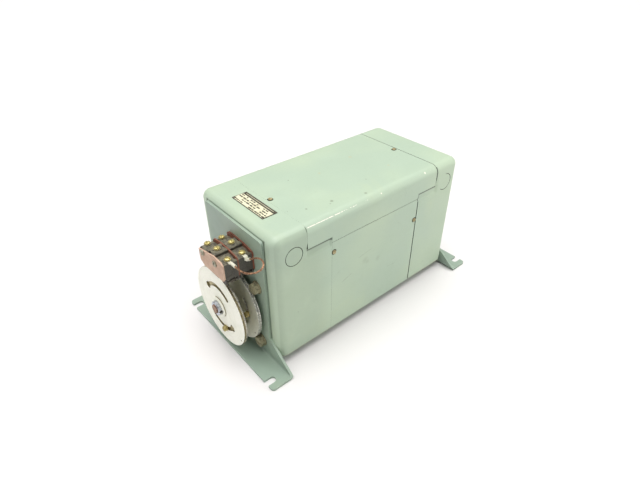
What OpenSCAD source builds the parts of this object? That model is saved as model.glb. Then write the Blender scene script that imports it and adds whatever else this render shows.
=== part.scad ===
// Ganged variable autotransformer in a sheet metal case, with limit switches and cams on its shaft.
// Frame: origin midway between the four foot slots, on the floor. +Z up, the switches face -Y.

/* [Case] */
// Width of the case
case_w = 146; // [142:0.5:150]
// Length of the case along the shaft
case_l = 299.2; // [298:0.2:304]
// Height of the case, without the feet
case_h = 165.5; // [162:0.5:170]
// Gap between the floor and the bottom of the case
case_lift = 12.5; // [10:0.5:14]
// Radius of the case's rounded edges
case_r = 10.5; // [7:0.5:14]
// Thickness of the case's sheet
sheet_t = 1.6; // [1.2:0.1:2]

/* [Covers] */
// Distance from the middle to the lid's front seam
lid_front = 107; // [104:0.5:110]
// Distance from the middle to the lid's rear seam
lid_rear = 105.4; // [104:0.2:110]
// Distance from the middle to the front side seams
side_front = 72.6; // [68:0.2:78]
// Distance from the middle to the rear side seams
side_rear = 73; // [68:0.5:78]
// Height of the lid's skirt edge above the case bottom
skirt_h = 131.2; // [126:0.2:133]
// Height of the skirt edge where it passes over the end caps
step_h = 137.8; // [136:0.2:142]
// Open gap at the lid's seams
lid_gap = 0.6; // [0.3:0.1:1]
// Open gap at the rear side seams
side_gap = 1.2; // [0.3:0.1:1.6]

/* [Brackets] */
// Thickness of the bracket plates
bracket_t = 3; // [2.5:0.5:3.5]
// Width of the upright plate
bracket_w = 111.8; // [108:0.2:114]
// Height of the upright plate above the floor
bracket_h = 170.4; // [160:0.2:172]
// Width across a foot
foot_w = 192; // [188:1:196]
// Distance from the middle to a foot's outer edge
foot_reach = 179; // [176:1:182]
// Height at which the plate starts to widen into the foot
wing_h = 33.5; // [28:0.5:40]
// Distance between the foot slots, left to right
slot_span = 166.8; // [162:0.2:170]
// Width of a foot slot
slot_w = 8.6; // [7:0.2:9]
// Depth of a foot slot
slot_l = 12.5; // [10:0.5:14]

/* [Shaft] */
// Height of the shaft above the floor
shaft_z = 63; // [62:0.5:65]
// Diameter of the shaft
shaft_d = 11.1; // [10:0.1:12]
// Diameter of the shaft's free rear end
tail_d = 9.525; // [8:0.025:9.525]
// Distance of a tie bolt from the shaft, sideways and up
tie_offset = 41; // [41:0.5:42]

/* [Cams] */
// Diameter of a cam disc
cam_d = 101.6; // [98:0.2:101.6]
// Thickness of a cam disc
cam_t = 1.6; // [1.2:0.1:1.8]
// Gap between the two discs of a cam
cam_gap = 0.8; // [0.6:0.1:1]
// Distance of the front cam's face from the middle
cam_front_y = 180.6; // [180:0.1:181]
// Distance between the two cams
cam_pitch = 19.05; // [18.5:0.05:19.5]
// Radius of the arc slots
cam_slot_r = 29.5; // [27:0.5:31]

/* [Switches] */
// Length of a switch body
switch_l = 49.2; // [48:0.2:50]
// Thickness of a switch body
switch_t = 15.9; // [15.5:0.1:16]
// Left end of the switch bodies
switch_x = -10.1; // [-11:0.1:-9]
// Underside of the switch bodies above the floor
switch_z = 129.1; // [128.5:0.1:130]
// Thickness of an insulating sheet
insulator_t = 1.6; // [1:0.1:1.6]

/* [Hidden] */
$fn = 64;
// Overlap between touching shapes, a size past everything, and how far a cutter passes the face it cuts
eps = 0.01;
far = 400;
past = 1;

sage = [0.66, 0.76, 0.67];
steel = [0.6, 0.6, 0.58];
brass = [0.75, 0.62, 0.3];
cam_white = [0.9, 0.9, 0.84];
black_plastic = [0.16, 0.16, 0.15];
fibre = [0.52, 0.26, 0.2];
copper = [0.62, 0.4, 0.28];
iron = [0.3, 0.28, 0.27];

case_top = case_lift + case_h;
case_end = case_l / 2;
plate_face = case_end + bracket_t;

// End caps: lips under the covers, the pressed-in strip under the lid, and the scored knockouts
lip = 9;
lip_low = 8;
strip_h = 10.8;
skirt_gap = 0.4;
hole_reach = 10;
knock_y = 124.6;
knock_h = 137.2;
knock_r = 11.1;
score_w = 0.5;
score_deep = 0.7;

// Cover screws, front end then rear end: on the lid, and on the sides, above the case bottom
lid_screw_x = 2.5;
lid_screw_y = [102.3, 100.4];
side_screw_y = [69.5, 68.9];
side_screw_h = [116.8, 101.2];
cover_head_r = 3.4;
cover_head_h = 1.6;
cover_screw_l = 5;
driver_slot = 0.9;

// Bottom pan
pan_fit = 0.3;
pan_rise = 0.8;
pan_edge = 3;

// Nameplate
plate_x = 1.2;
plate_y = -122.7;
plate_w = 59.6;
plate_d = 19.5;
plate_t = 0.5;
pin_inset = 2.2;
rivet_r = 0.9;
rivet_head_r = 1.4;
rivet_head_h = 0.6;

// Bracket corners and the rise of a foot's ends
foot_corner = 4;
foot_rise = 0.5;

// Tie bolts: 5/16 inch hexagon heads
tie_r = 3.95;
tie_hole_r = 4.15;
tie_turn = 15;
tie_end = 2;
hex_flats = 12.7;
hex_r = hex_flats / 2 / cos(30);
head_h = 5.6;
nut_h = 6.8;
washer_t = 1.6;
washer_r = 8;
spacer_r = 5.5;

// Gangs: one transformer each, spaced along the shaft
gang_pitch = 88;
gang_start = -120;
gang_plate_t = 5;
gang_half = 49;
gang_low = 46;
winding_out = 45;
winding_in = 17;
winding_l = 46;
core_out = 39;
core_in = 23;
core_margin = 6;
winding_arc = 325;
winding_round = 4;
tab_half = 30;
tab_h = 26;
shaft_pass_r = 9;
board_rise = 17;
board_half = 28;
board_half_h = 10;
board_t = 3;
board_screw_x = 20;
board_hole_r = 2;
brush_arm_y = 58;
arm_t = 3;
arm_r = 36;
arm_hub_r = 12;
arm_hub_l = 8;
brush_clear = 0.3;
brush_r = 31;
brush_half = 4;

// Stops: a collar with a finger on the shaft, and a block on the rear bush
stop_collar_y = 129;
stop_collar_l = 8;
stop_collar_r = 11;
finger_half = 2;
finger_r = 19;
block_half = 2.5;
block_r = [15, 21];
block_foot_r = 13;
block_l = 17;

// Bearings
bush_r = 8;
bush_clear = 0.05;
bush_flange_r = 14;
bush_flange_t = 3;
bush_inner = 6;
bush_front_out = 2.8;
bush_rear_out = 5;

// Cam hub
spigot_r = 7;
collar_r = 9;
hub_flange_r = 13;
hub_flange_t = 1.7;
collar_l = 4.6;
hub_ring_r = 11;
hub_ring_t = 1.2;
set_screw_r = 2;
set_socket_r = 1.1;
set_sunk = 0.6;
slide_clear = 0.05;
part_clear = 0.3;
slot_half = 2.7;
slot_from = 50;
slot_to = 140;
slot_end_grow = 0.15;
slot_steps = 6;
key_r = 4.4;
clamp_angle = 286;
clamp_r = 1.9;
clamp_head_r = 4.2;
clamp_head_h = 4.8;
cam_hole_angle = -31.5;
cam_hole_r = 1.1;
cam_hole_at = 47.3;
fixed_turn = 12;
rear_cam_turn = 70;
notch_angle = 90;
notch_half = 9;
notch_deep = 3;

// Switch heights, above the switch underside
post_low = 18.9;
post_mid = 23.9;
post_high = 20.4;
post_x = [2.6, 23.6, 43.5];
post_h = [post_low, post_mid, post_high];
mid_post_right = 8.4;
mid_post_left = [7, 9];
mount_x = [8.9, 34.3];
mount_z = 15.9;
screw_r = 1.75;
screw_play = 0.1;
lug_leg_l = 4.2;
lug_leg_h = 5.4;
lug_leg_t = 1.8;
terminal_r = 1.5;
terminal_head_r = 3.2;
terminal_hole = [5, 9];
cup_r = [3.3, 4];
terminal_l = 4;
mount_head_r = 3.5;
plunger_hole = 8;
plunger_depth = 5;
pitch_y = switch_t + insulator_t;
switch_rear_y = -plate_face - insulator_t - switch_t / 2;
switch_front_y = switch_rear_y - pitch_y;
stack_face = switch_front_y - switch_t / 2 - insulator_t;
screw_head_h = 2.2;
screw_tip = 1.2;
terminal_head_h = 2;
cup_t = 0.8;
lug_t = 0.8;

// Side outlines of the insulating sheets, from the switches' lower left corner
rear_sheet = [[0, 0], [50.2, 0], [50.2, 19.4], [48.6, 22.4], [34, 24.8], [14, 25.2], [4, 24.4], [0, 21.4]];
middle_sheet = [[0, 0], [switch_l, 0], [switch_l, 19.6], [46.8, 22.4], [33, 24.3], [15, 24.3], [3, 22.6], [0, 19.6]];
front_sheet = [[0, 2], [8, -2.2], [46.7, -0.6], [50, 4], [50, 20.5], [46.2, 23.6], [31, 24], [14, 19.6],
  [0, 16.8]];

// Jumper: crimped lugs, and the wire's route from the front lug to the rear one
lug_z = switch_z + post_high;
lug_ring_r = 3.6;
tongue_half = 2;
tongue_fold = 1;
rear_drop = 3.6;
barrel_r = 1.75;
wire_r = 1;
wire_hole_r = 1.15;
front_barrel = [[40.6, -179.6, 150.5], [48.4, -179.5, 150.5]];
rear_barrel = [[41.2, -161.9, 146.3], [45, -160.2, 148.4]];
jumper_route = [[45, -179.6, 150.5], [48.5, -179.5, 150.5], [52.5, -179.4, 150.2], [56.5, -179, 149.9],
  [60.3, -177.8, 149.6], [64, -175.4, 149.4], [67, -172.2, 149.5], [69, -168, 150], [69.8, -163.8, 151.2],
  [68.8, -160, 153], [66, -157.5, 154.3], [62.3, -156.3, 154.7], [58.3, -156, 154.3],
  [54.3, -156.6, 153.2], [50.7, -157.8, 151.6], [47.6, -159.1, 149.8], [45, -160.2, 148.4],
  [43, -161.1, 147.3]];

// Roller levers
roller_r = 4.75;
roller_w = 4;
rim_gap = 0.25;
roller_z = shaft_z + cam_d / 2 + rim_gap + roller_r;
pin_r = 1.5;
hinge_x = switch_x + switch_l - 2.1;
hinge_z = switch_z - 3.2;
hinge_pin_r = 1;
arm_w = 6.2;
arm_end = 4;
knuckle_r = 2;
ear_r = 3.2;
lever_t = 1;
plunger_r = 1.75;
plunger_x = hinge_x - 17;
plunger_gap = 0.2;
ear_t = 0.8;

front_cam_mid = -cam_front_y + cam_t + cam_gap / 2;
rear_cam_mid = front_cam_mid + cam_pitch;
shaft_front = -188.4;
tail_y = 163;
// The tail reaches as far back as the switch screws reach forward
shaft_rear = -stack_face + screw_head_h;

// ---- shared shapes ----

// Cylinder along +Y from y0 to y1
module rod_y(r, y0, y1, fn = 64) {
  translate([0, y1, 0]) rotate([90, 0, 0]) cylinder(r = r, h = y1 - y0, $fn = fn);
}

// Box from one corner to the other
module span(a, b) {
  translate(a) cube([b[0] - a[0], b[1] - a[1], b[2] - a[2]]);
}

module quarter_disc(r) {
  intersection() {
    circle(r = r);
    square(r);
  }
}

module rounded_rect(w, l, r) {
  square([w, l - 2 * r], center = true);
  square([w - 2 * r, l], center = true);
  for (sx = [-1, 1], sy = [-1, 1])
    translate([sx * (w / 2 - r), sy * (l / 2 - r)]) circle(r = r);
}

// Upright block with rounded corners and a rounded top
module crown_block(w, l, h, r) {
  ix = w / 2 - r;
  iy = l / 2 - r;
  linear_extrude(height = h - r) rounded_rect(w, l, r);
  translate([0, 0, h - r]) {
    span([-ix, -iy, 0], [ix, iy, r]);
    for (m = [0, 1]) mirror([m, 0, 0])
      translate([ix, iy, 0]) rotate([90, 0, 0]) linear_extrude(height = 2 * iy) quarter_disc(r);
    for (m = [0, 1]) mirror([0, m, 0])
      translate([-ix, iy, 0]) rotate([90, 0, 90]) linear_extrude(height = 2 * ix) quarter_disc(r);
    for (m = [0, 1], n = [0, 1]) mirror([m, 0, 0]) mirror([0, n, 0])
      translate([ix, iy, 0]) rotate_extrude(angle = 90) quarter_disc(r);
  }
}

// The case's skin: a sheet whose outside lies a given inset within the case
module case_skin(inset = 0) {
  i = inset;
  j = inset + sheet_t;
  translate([0, 0, case_lift]) difference() {
    crown_block(case_w - 2 * i, case_l - 2 * i, case_h - i, case_r - i);
    translate([0, 0, -1])
      crown_block(case_w - 2 * j, case_l - 2 * j, case_h - j + 1, case_r - j);
  }
}

// Takes the square corner off a plate and leaves a round one, drilled along Z
module corner_cut(r, h) {
  translate([0, 0, -past]) linear_extrude(height = h + 2 * past) difference() {
    square(r + past);
    circle(r = r);
  }
}

module tie_places() {
  for (sx = [-1, 1], sz = [-1, 1])
    translate([sx * tie_offset, 0, shaft_z + sz * tie_offset])
      rotate([0, -tie_turn * sx * sz, 0]) children();
}

module tie_holes(y0, y1) {
  tie_places() rod_y(tie_hole_r, y0, y1);
}

// ---- case ----

// An end cap, drawn at the +Y end, with the screw holes of one end: 0 is the front and 1 the rear
module end_cap(lid_y, side_y, end) {
  color(sage) difference() {
    union() {
      intersection() {
        case_skin();
        union() {
          span([-far, lid_y, case_lift], [far, far, far]);
          span([-far, side_y, case_lift], [far, lid_y + past, case_lift + step_h - strip_h]);
        }
      }
      intersection() {
        case_skin(sheet_t);
        union() {
          span([-far, lid_y - lip, case_lift + skirt_h - lip], [far, lid_y + lip, far]);
          span([-far, side_y - lip, case_lift + skirt_h - lip],
            [far, lid_y - lip + past, case_lift + step_h + lip]);
          span([-far, side_y - lip, case_lift + lip_low],
            [far, side_y + lip, case_lift + skirt_h - lip + past]);
        }
      }
    }
    tie_holes(case_end - hole_reach, case_end + past);
    translate([0, 0, shaft_z]) rod_y(bush_r, case_end - hole_reach, case_end + past);
    knockout_grooves();
    cover_screw_holes(end);
  }
}

// Rings scored in the end caps' sides, where a conduit hole can be knocked out
module knockout_grooves() {
  for (sx = [-1, 1])
    translate([sx * case_w / 2, knock_y, case_lift + knock_h]) rotate([0, 90, 0])
      difference() {
        cylinder(r = knock_r + score_w / 2, h = 2 * score_deep, center = true);
        cylinder(r = knock_r - score_w / 2, h = 3 * score_deep, center = true);
      }
}

// Where the cover screws of one end go, drawn at the +Y end
module cover_screw_places(end) {
  translate([lid_screw_x, lid_screw_y[end], case_top]) children();
  for (sx = [-1, 1])
    translate([sx * case_w / 2, side_screw_y[end], case_lift + side_screw_h[end]])
      rotate([0, sx * 90, 0]) children();
}

module cover_screw_holes(end) {
  cover_screw_places(end) cylinder(r = screw_r, h = 2 * hole_reach, center = true);
}

// Takes the screw holes of both ends out of a cover
module drilled_cover() {
  color(sage) difference() {
    children();
    cover_screw_holes(1);
    mirror([0, 1, 0]) cover_screw_holes(0);
  }
}

module front_end_cap() {
  color(sage) difference() {
    mirror([0, 1, 0]) end_cap(lid_front, side_front, 0);
    for (x = mount_x)
      translate([switch_x + x, 0, switch_z + mount_z])
        rod_y(screw_r + past, -case_end - past, -case_end + hole_reach);
  }
}

module rear_end_cap() {
  end_cap(lid_rear, side_rear, 1);
}

module top_cover() {
  y0 = -lid_front + lid_gap / 2;
  y1 = lid_rear - lid_gap;
  drilled_cover() intersection() {
    case_skin();
    union() {
      span([-far, y0, case_lift + step_h + lid_gap / 2], [far, y1, far]);
      span([-far, -side_front + lid_gap / 2, case_lift + skirt_h], [far, side_rear - lid_gap, far]);
    }
  }
}

module side_panel(s) {
  x = [s > 0 ? 0 : -far, s > 0 ? far : 0];
  drilled_cover() intersection() {
    case_skin();
    span([x[0], -side_front + lid_gap / 2, 0],
      [x[1], side_rear - side_gap, case_lift + skirt_h - skirt_gap]);
  }
}

module side_panel_right() {
  side_panel(1);
}

module side_panel_left() {
  side_panel(-1);
}

// Closes the case underneath, with edges turned up inside the side panels and caps
module bottom_pan() {
  inset = sheet_t + pan_fit;
  x = case_w / 2 - inset;
  y = case_end - inset;
  z = case_lift + pan_rise;
  color(sage) difference() {
    translate([0, 0, z]) linear_extrude(height = pan_edge) rounded_rect(2 * x, 2 * y, case_r - inset);
    translate([0, 0, z + sheet_t]) linear_extrude(height = pan_edge)
      rounded_rect(2 * (x - sheet_t), 2 * (y - sheet_t), case_r - inset - sheet_t);
  }
}

module nameplate() {
  color([0.85, 0.82, 0.66]) difference() {
    translate([plate_x, plate_y, case_top + plate_t / 2]) cube([plate_w, plate_d, plate_t], center = true);
    nameplate_pin_places() cylinder(r = rivet_r, h = 2 * plate_t + past, center = true);
  }
}

module nameplate_pin_places() {
  for (sx = [-1, 1], sy = [-1, 1])
    translate([plate_x + sx * (plate_w / 2 - pin_inset), plate_y + sy * (plate_d / 2 - pin_inset), case_top])
      children();
}

module nameplate_pins() {
  color(brass) nameplate_pin_places() {
    cylinder(r = rivet_r, h = plate_t);
    translate([0, 0, plate_t]) cylinder(r = rivet_head_r, h = rivet_head_h);
  }
}

module slotted_screw(head_r, head_h, shank_r, shank_l) {
  difference() {
    cylinder(r = head_r, h = head_h);
    translate([-head_r - past, -driver_slot / 2, head_h * 0.45])
      cube([2 * (head_r + past), driver_slot, head_h]);
  }
  translate([0, 0, -shank_l]) cylinder(r = shank_r, h = shank_l + eps);
}

module cover_screws() {
  color(brass) for (end = [0, 1]) mirror([0, 1 - end, 0])
    cover_screw_places(end) slotted_screw(cover_head_r, cover_head_h, screw_r, cover_screw_l);
}

// ---- brackets and tie bolts ----

// A bent plate: upright against the case's end, with a wide foot turned outwards. Drawn at the +Y end.
module bracket() {
  half_foot = foot_w / 2;
  half_plate = bracket_w / 2;
  bend_r = bracket_t * 2;
  y0 = case_end;
  difference() {
    intersection() {
      union() {
        span([-half_foot, y0, bend_r], [half_foot, y0 + bracket_t, bracket_h]);
        span([-half_foot, y0 + bend_r, 0], [half_foot, foot_reach, bracket_t]);
        translate([-half_foot, y0 + bend_r, bend_r]) rotate([90, 0, 90]) linear_extrude(height = foot_w)
          rotate(180) difference() {
            quarter_disc(bend_r);
            circle(r = bend_r - bracket_t);
          }
      }
      translate([0, foot_reach, 0]) rotate([90, 0, 0]) linear_extrude(height = foot_reach)
        polygon([[-half_foot, 0], [half_foot, 0], [half_foot, bracket_t + foot_rise],
          [half_plate, wing_h], [half_plate, bracket_h], [-half_plate, bracket_h],
          [-half_plate, wing_h], [-half_foot, bracket_t + foot_rise]]);
    }
    for (sx = [-1, 1]) {
      translate([sx * slot_span / 2, foot_reach - slot_l + slot_w / 2, -past]) {
        cylinder(r = slot_w / 2, h = bracket_t + 2 * past);
        translate([-slot_w / 2, 0, 0]) cube([slot_w, far, bracket_t + 2 * past]);
      }
      scale([sx, 1, 1]) {
        translate([half_foot - foot_corner, foot_reach - foot_corner, 0])
          corner_cut(foot_corner, bracket_t);
        translate([half_plate - foot_corner, y0 + bracket_t, bracket_h - foot_corner]) rotate([90, 0, 0])
          corner_cut(foot_corner, bracket_t);
      }
    }
    tie_holes(y0 - past, y0 + bracket_t + past);
    translate([0, 0, shaft_z]) rod_y(bush_r, y0 - past, y0 + bracket_t + past);
  }
}

module front_bracket() {
  color(sage) difference() {
    mirror([0, 1, 0]) bracket();
    for (x = mount_x)
      translate([switch_x + x, 0, switch_z + mount_z]) rod_y(screw_r, -plate_face - past, -case_end + past);
  }
}

module rear_bracket() {
  color(sage) bracket();
}

module hexagon_y(y0, y1) {
  rod_y(hex_r, y0, y1, 6);
}

module tie_bolts() {
  under_head = -plate_face - washer_t;
  color(steel) tie_places() {
    hexagon_y(under_head - head_h, under_head);
    rod_y(tie_r, under_head - eps, plate_face + washer_t + nut_h + tie_end);
  }
}

module tie_washers() {
  color(steel) for (y = [-plate_face - washer_t, plate_face]) tie_places() difference() {
    rod_y(washer_r, y, y + washer_t);
    rod_y(tie_r, y - past, y + washer_t + past);
  }
}

module tie_nuts() {
  y = plate_face + washer_t;
  color(steel) tie_places() difference() {
    hexagon_y(y, y + nut_h);
    rod_y(tie_r, y - past, y + nut_h + past);
  }
}

// Tubes on the tie bolts, from each gang plate to the next and to the end walls
module spacer_tubes() {
  wall = case_end - sheet_t;
  fronts = [-wall, for (n = [1:3]) gang_y(n) + gang_plate_t];
  backs = [for (n = [1:3]) gang_y(n), wall];
  color(steel) for (i = [0:3]) tie_places() difference() {
    rod_y(spacer_r, fronts[i], backs[i]);
    rod_y(tie_hole_r, fronts[i] - past, backs[i] + past);
  }
}

// A bush that stands out of the plate by a length, with its flange inside the end wall
module bush(out) {
  wall = case_end - sheet_t;
  y_in = case_end - bush_inner;
  y_out = plate_face + out;
  translate([0, 0, shaft_z]) difference() {
    union() {
      rod_y(bush_r, y_in, y_out);
      rod_y(bush_flange_r, wall - bush_flange_t, wall);
    }
    rod_y(shaft_d / 2 + bush_clear, y_in - past, y_out + past);
  }
}

module front_bearing() {
  color(brass) mirror([0, 1, 0]) bush(bush_front_out);
}

// The rear bush carries the block that stops the shaft at both ends of its turn
module rear_bearing() {
  wall = case_end - sheet_t;
  flange = wall - bush_flange_t;
  color(brass) {
    bush(bush_rear_out);
    translate([0, 0, shaft_z]) {
      span([-block_half, flange, -block_r[1]], [block_half, wall, -block_foot_r]);
      span([-block_half, flange - block_l, -block_r[1]], [block_half, flange + eps, -block_r[0]]);
    }
  }
}

// ---- gangs ----

function gang_y(n) = gang_start + (n - 1) * gang_pitch;

module gang_plate(n) {
  y = gang_y(n);
  color(steel) difference() {
    translate([0, 0, shaft_z]) {
      span([-gang_half, y, -gang_low], [gang_half, y + gang_plate_t, gang_half]);
      span([-tab_half, y, gang_half - eps], [tab_half, y + gang_plate_t, gang_half + tab_h]);
    }
    tie_holes(y - past, y + gang_plate_t + past);
    translate([0, 0, shaft_z]) {
      rod_y(shaft_pass_r, y - past, y + gang_plate_t + past);
      for (x = [-board_screw_x, board_screw_x]) translate([x, 0, gang_half + board_rise])
        rod_y(board_hole_r, y - past, y + gang_plate_t + past);
    }
  }
}

module ring_profile(r0, r1, l, round_r) {
  translate([(r0 + r1) / 2, l / 2]) rounded_rect(r1 - r0, l, round_r);
}

// The laminated iron ring
module core(n) {
  y = gang_y(n) + gang_plate_t + core_margin;
  l = winding_l - 2 * core_margin;
  color(iron) translate([0, y, shaft_z]) rotate([-90, 0, 0]) difference() {
    cylinder(r = core_out, h = l);
    translate([0, 0, -past]) cylinder(r = core_in, h = l + 2 * past);
  }
}

// The winding wraps the core, and leaves a gap at the top between its two ends
module winding(n) {
  color(copper) translate([0, gang_y(n) + gang_plate_t, shaft_z]) rotate([-90, 0, 0])
    rotate([0, 0, -90 + (360 - winding_arc) / 2]) rotate_extrude(angle = winding_arc) difference() {
      ring_profile(winding_in, winding_out, winding_l, winding_round);
      translate([core_in, core_margin]) square([core_out - core_in, winding_l - 2 * core_margin]);
    }
}

module terminal_board(n) {
  y = gang_y(n);
  color(black_plastic) translate([0, 0, shaft_z + gang_half + board_rise]) difference() {
    span([-board_half, y - board_t, -board_half_h], [board_half, y, board_half_h]);
    for (x = [-board_screw_x, 0, board_screw_x]) translate([x, 0, 0])
      rod_y(board_hole_r, y - board_t - past, y + past);
  }
}

// ---- rotor: shaft, stop collar, brush arms and brushes ----

module shaft() {
  color(steel) translate([0, 0, shaft_z]) {
    rod_y(shaft_d / 2, shaft_front, tail_y);
    rod_y(tail_d / 2, tail_y - eps, shaft_rear);
  }
}

module stop_collar() {
  y0 = stop_collar_y;
  y1 = y0 + stop_collar_l;
  color(steel) translate([0, 0, shaft_z]) difference() {
    union() {
      rod_y(stop_collar_r, y0, y1);
      span([-finger_half, y0, 0], [finger_half, y1, finger_r]);
    }
    rod_y(shaft_d / 2, y0 - past, y1 + past);
  }
}

module brush_arm(n) {
  y = gang_y(n) + brush_arm_y;
  color(steel) translate([0, 0, shaft_z]) difference() {
    union() {
      rod_y(arm_hub_r, y, y + arm_hub_l);
      rod_y(arm_r, y, y + arm_t);
    }
    rod_y(shaft_d / 2, y - past, y + arm_hub_l + past);
  }
}

module brushes() {
  color([0.12, 0.12, 0.12]) for (n = [1:3])
    translate([0, 0, shaft_z])
      span([-brush_half, gang_y(n) + gang_plate_t + winding_l + brush_clear, -brush_r - brush_half],
        [brush_half, gang_y(n) + brush_arm_y, -brush_r + brush_half]);
}

// ---- cams ----

// Hub of one cam: collar and flange in front of the discs, a spigot through them
module cam_hub(mid_y) {
  seat = mid_y - cam_t - cam_gap / 2 - part_clear;
  back = mid_y + cam_t + cam_gap / 2;
  color(cam_white) translate([0, 0, shaft_z]) difference() {
    union() {
      rod_y(collar_r, seat - hub_flange_t - collar_l, seat - hub_flange_t);
      rod_y(hub_flange_r, seat - hub_flange_t, seat);
      rod_y(spigot_r, seat - eps, back);
      rod_y(hub_ring_r, back, back + hub_ring_t);
      rod_y(hub_ring_r, mid_y + cam_gap / 8, mid_y + cam_gap / 2);
    }
    rod_y(shaft_d / 2, seat - hub_flange_t - collar_l - past, back + hub_ring_t + past);
    translate([0, set_screw_y(mid_y), 0]) rotate([0, 90, 0]) cylinder(r = set_screw_r, h = collar_r + past);
  }
}

function set_screw_y(mid_y) = mid_y - cam_t - cam_gap / 2 - part_clear - hub_flange_t - collar_l / 2;

module cam_hub_front() {
  cam_hub(front_cam_mid);
}

module cam_hub_rear() {
  cam_hub(rear_cam_mid);
}

module hub_set_screws() {
  bottom = shaft_d / 2 + 0.2;
  color([0.2, 0.2, 0.2]) for (mid_y = [front_cam_mid, rear_cam_mid])
    translate([bottom, set_screw_y(mid_y), shaft_z]) rotate([0, 90, 0]) difference() {
      cylinder(r = set_screw_r, h = collar_r - set_sunk - bottom);
      translate([0, 0, 1]) cylinder(r = set_socket_r, h = collar_r, $fn = 6);
    }
}

// A cam disc between y and y + cam_t, with a shallow dip in its rim
module cam_disc(y, turn) {
  r = cam_d / 2;
  difference() {
    rod_y(r, y, y + cam_t, 180);
    rotate([0, -turn - notch_angle, 0]) difference() {
      span([r - notch_deep, y - past, -r * sin(notch_half)],
        [r + past, y + cam_t + past, r * sin(notch_half)]);
      rod_y(r - notch_deep, y - 2 * past, y + cam_t + 2 * past);
    }
    rod_y(spigot_r, y - past, y + cam_t + past);
  }
}

// Arc slot about the shaft between two angles, with a larger round hole at its end
module arc_slot(y, from, to) {
  sweep = to - from;
  translate([0, y + cam_t + past, 0]) rotate([90, 0, 0]) {
    linear_extrude(height = cam_t + 2 * past) {
      intersection() {
        difference() {
          circle(r = cam_slot_r + slot_half);
          circle(r = cam_slot_r - slot_half);
        }
        polygon([[0, 0], for (i = [0:slot_steps]) cam_d * [cos(from + i * sweep / slot_steps),
          sin(from + i * sweep / slot_steps)]]);
      }
      rotate(from) translate([cam_slot_r, 0]) circle(r = slot_half + slot_end_grow);
      rotate(to) translate([cam_slot_r, 0]) circle(r = key_r);
    }
  }
}

// The disc that turns on the hub, so that its two arc slots set where the switch trips
module cam_adjust(mid_y, turn) {
  y = mid_y - cam_gap / 2 - cam_t;
  color(cam_white) translate([0, 0, shaft_z]) difference() {
    cam_disc(y, 0);
    rotate([0, -turn, 0]) for (half_turn = [0, 180])
      arc_slot(y, slot_from + half_turn, slot_to + half_turn);
    rod_y(spigot_r + slide_clear, y - past, y + cam_t + past);
    rotate([0, -cam_hole_angle, 0]) translate([cam_hole_at, 0, 0])
      rod_y(cam_hole_r, y - past, y + cam_t + past, 24);
  }
}

// The disc fixed to the hub, which takes the clamping screw
module cam_fixed(mid_y, turn) {
  y = mid_y + cam_gap / 2;
  color([0.6, 0.62, 0.6]) translate([0, 0, shaft_z]) difference() {
    cam_disc(y, fixed_turn);
    rotate([0, -turn - clamp_angle, 0]) translate([cam_slot_r, 0, 0])
      rod_y(clamp_r, y - past, y + cam_t + past);
  }
}

module cam_fixed_front() {
  cam_fixed(front_cam_mid, 0);
}

module cam_fixed_rear() {
  cam_fixed(rear_cam_mid, rear_cam_turn);
}

module cam_adjust_front() {
  cam_adjust(front_cam_mid, 0);
}

module cam_adjust_rear() {
  cam_adjust(rear_cam_mid, rear_cam_turn);
}

module cam_screws() {
  reach = 2 * cam_t + cam_gap + part_clear;
  color(brass) for (c = [[front_cam_mid, 0], [rear_cam_mid, rear_cam_turn]])
    translate([0, c[0] - cam_gap / 2 - cam_t - part_clear, shaft_z])
      rotate([0, -c[1] - clamp_angle, 0]) translate([cam_slot_r, 0, 0])
        rotate([90, 0, 0]) slotted_screw(clamp_head_r, clamp_head_h, clamp_r, reach);
}

// ---- limit switches ----

// Side outline of a switch: three posts of different heights
module switch_outline() {
  right = post_x[1] + mid_post_right;
  polygon([[0, 0], [switch_l, 0], [switch_l, post_high], [right, post_high], [right, post_mid],
    [post_x[1] - mid_post_left[0], post_mid], [post_x[1] - mid_post_left[1], post_low], [0, post_low]]);
}

// Puts a side outline, drawn in X and Z, between y and y + t at the switches' place
module at_switch(y, t) {
  translate([switch_x, y + t, switch_z]) rotate([90, 0, 0]) linear_extrude(height = t) children();
}

module mount_holes(r, y, t) {
  for (x = mount_x) translate([switch_x + x, 0, switch_z + mount_z]) rod_y(r, y - past, y + t + past, 32);
}

module limit_switch(mid_y) {
  y = mid_y - switch_t / 2;
  color(black_plastic) difference() {
    union() {
      at_switch(y, switch_t) switch_outline();
      for (side = [y, y + switch_t - lug_leg_t]) at_switch(side, lug_leg_t)
        translate([switch_l - lug_leg_l, -lug_leg_h]) square([lug_leg_l, lug_leg_h + eps]);
    }
    mount_holes(screw_r + screw_play, y, switch_t);
    for (i = [0:2]) translate([switch_x + post_x[i], mid_y, switch_z + post_h[i] - terminal_hole[0]])
      cylinder(r = terminal_r, h = terminal_hole[1], $fn = 32);
    translate([hinge_x, 0, hinge_z]) rod_y(hinge_pin_r, y - past, y + switch_t + past, 32);
    translate([plunger_x, mid_y, switch_z - past])
      cylinder(r = plunger_r + slide_clear, h = plunger_hole, $fn = 32);
  }
}

module switch_front() {
  limit_switch(switch_front_y);
}

module switch_rear() {
  limit_switch(switch_rear_y);
}

// Fibre sheet of a side outline, whose front is at y
module insulator(y, outline) {
  difference() {
    at_switch(y, insulator_t) polygon(outline);
    mount_holes(screw_r + screw_play, y, insulator_t);
  }
}

module insulator_rear() {
  color(fibre) insulator(-plate_face - insulator_t, rear_sheet);
}

module insulator_middle() {
  color(fibre) insulator(switch_front_y + switch_t / 2, middle_sheet);
}

module insulator_front() {
  color([0.75, 0.6, 0.5]) insulator(stack_face, front_sheet);
}

module switch_screws() {
  reach = -stack_face - case_end + screw_tip;
  color(steel) for (x = mount_x)
    translate([switch_x + x, stack_face, switch_z + mount_z])
      rotate([90, 0, 0]) slotted_screw(mount_head_r, screw_head_h, screw_r, reach);
}

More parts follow.
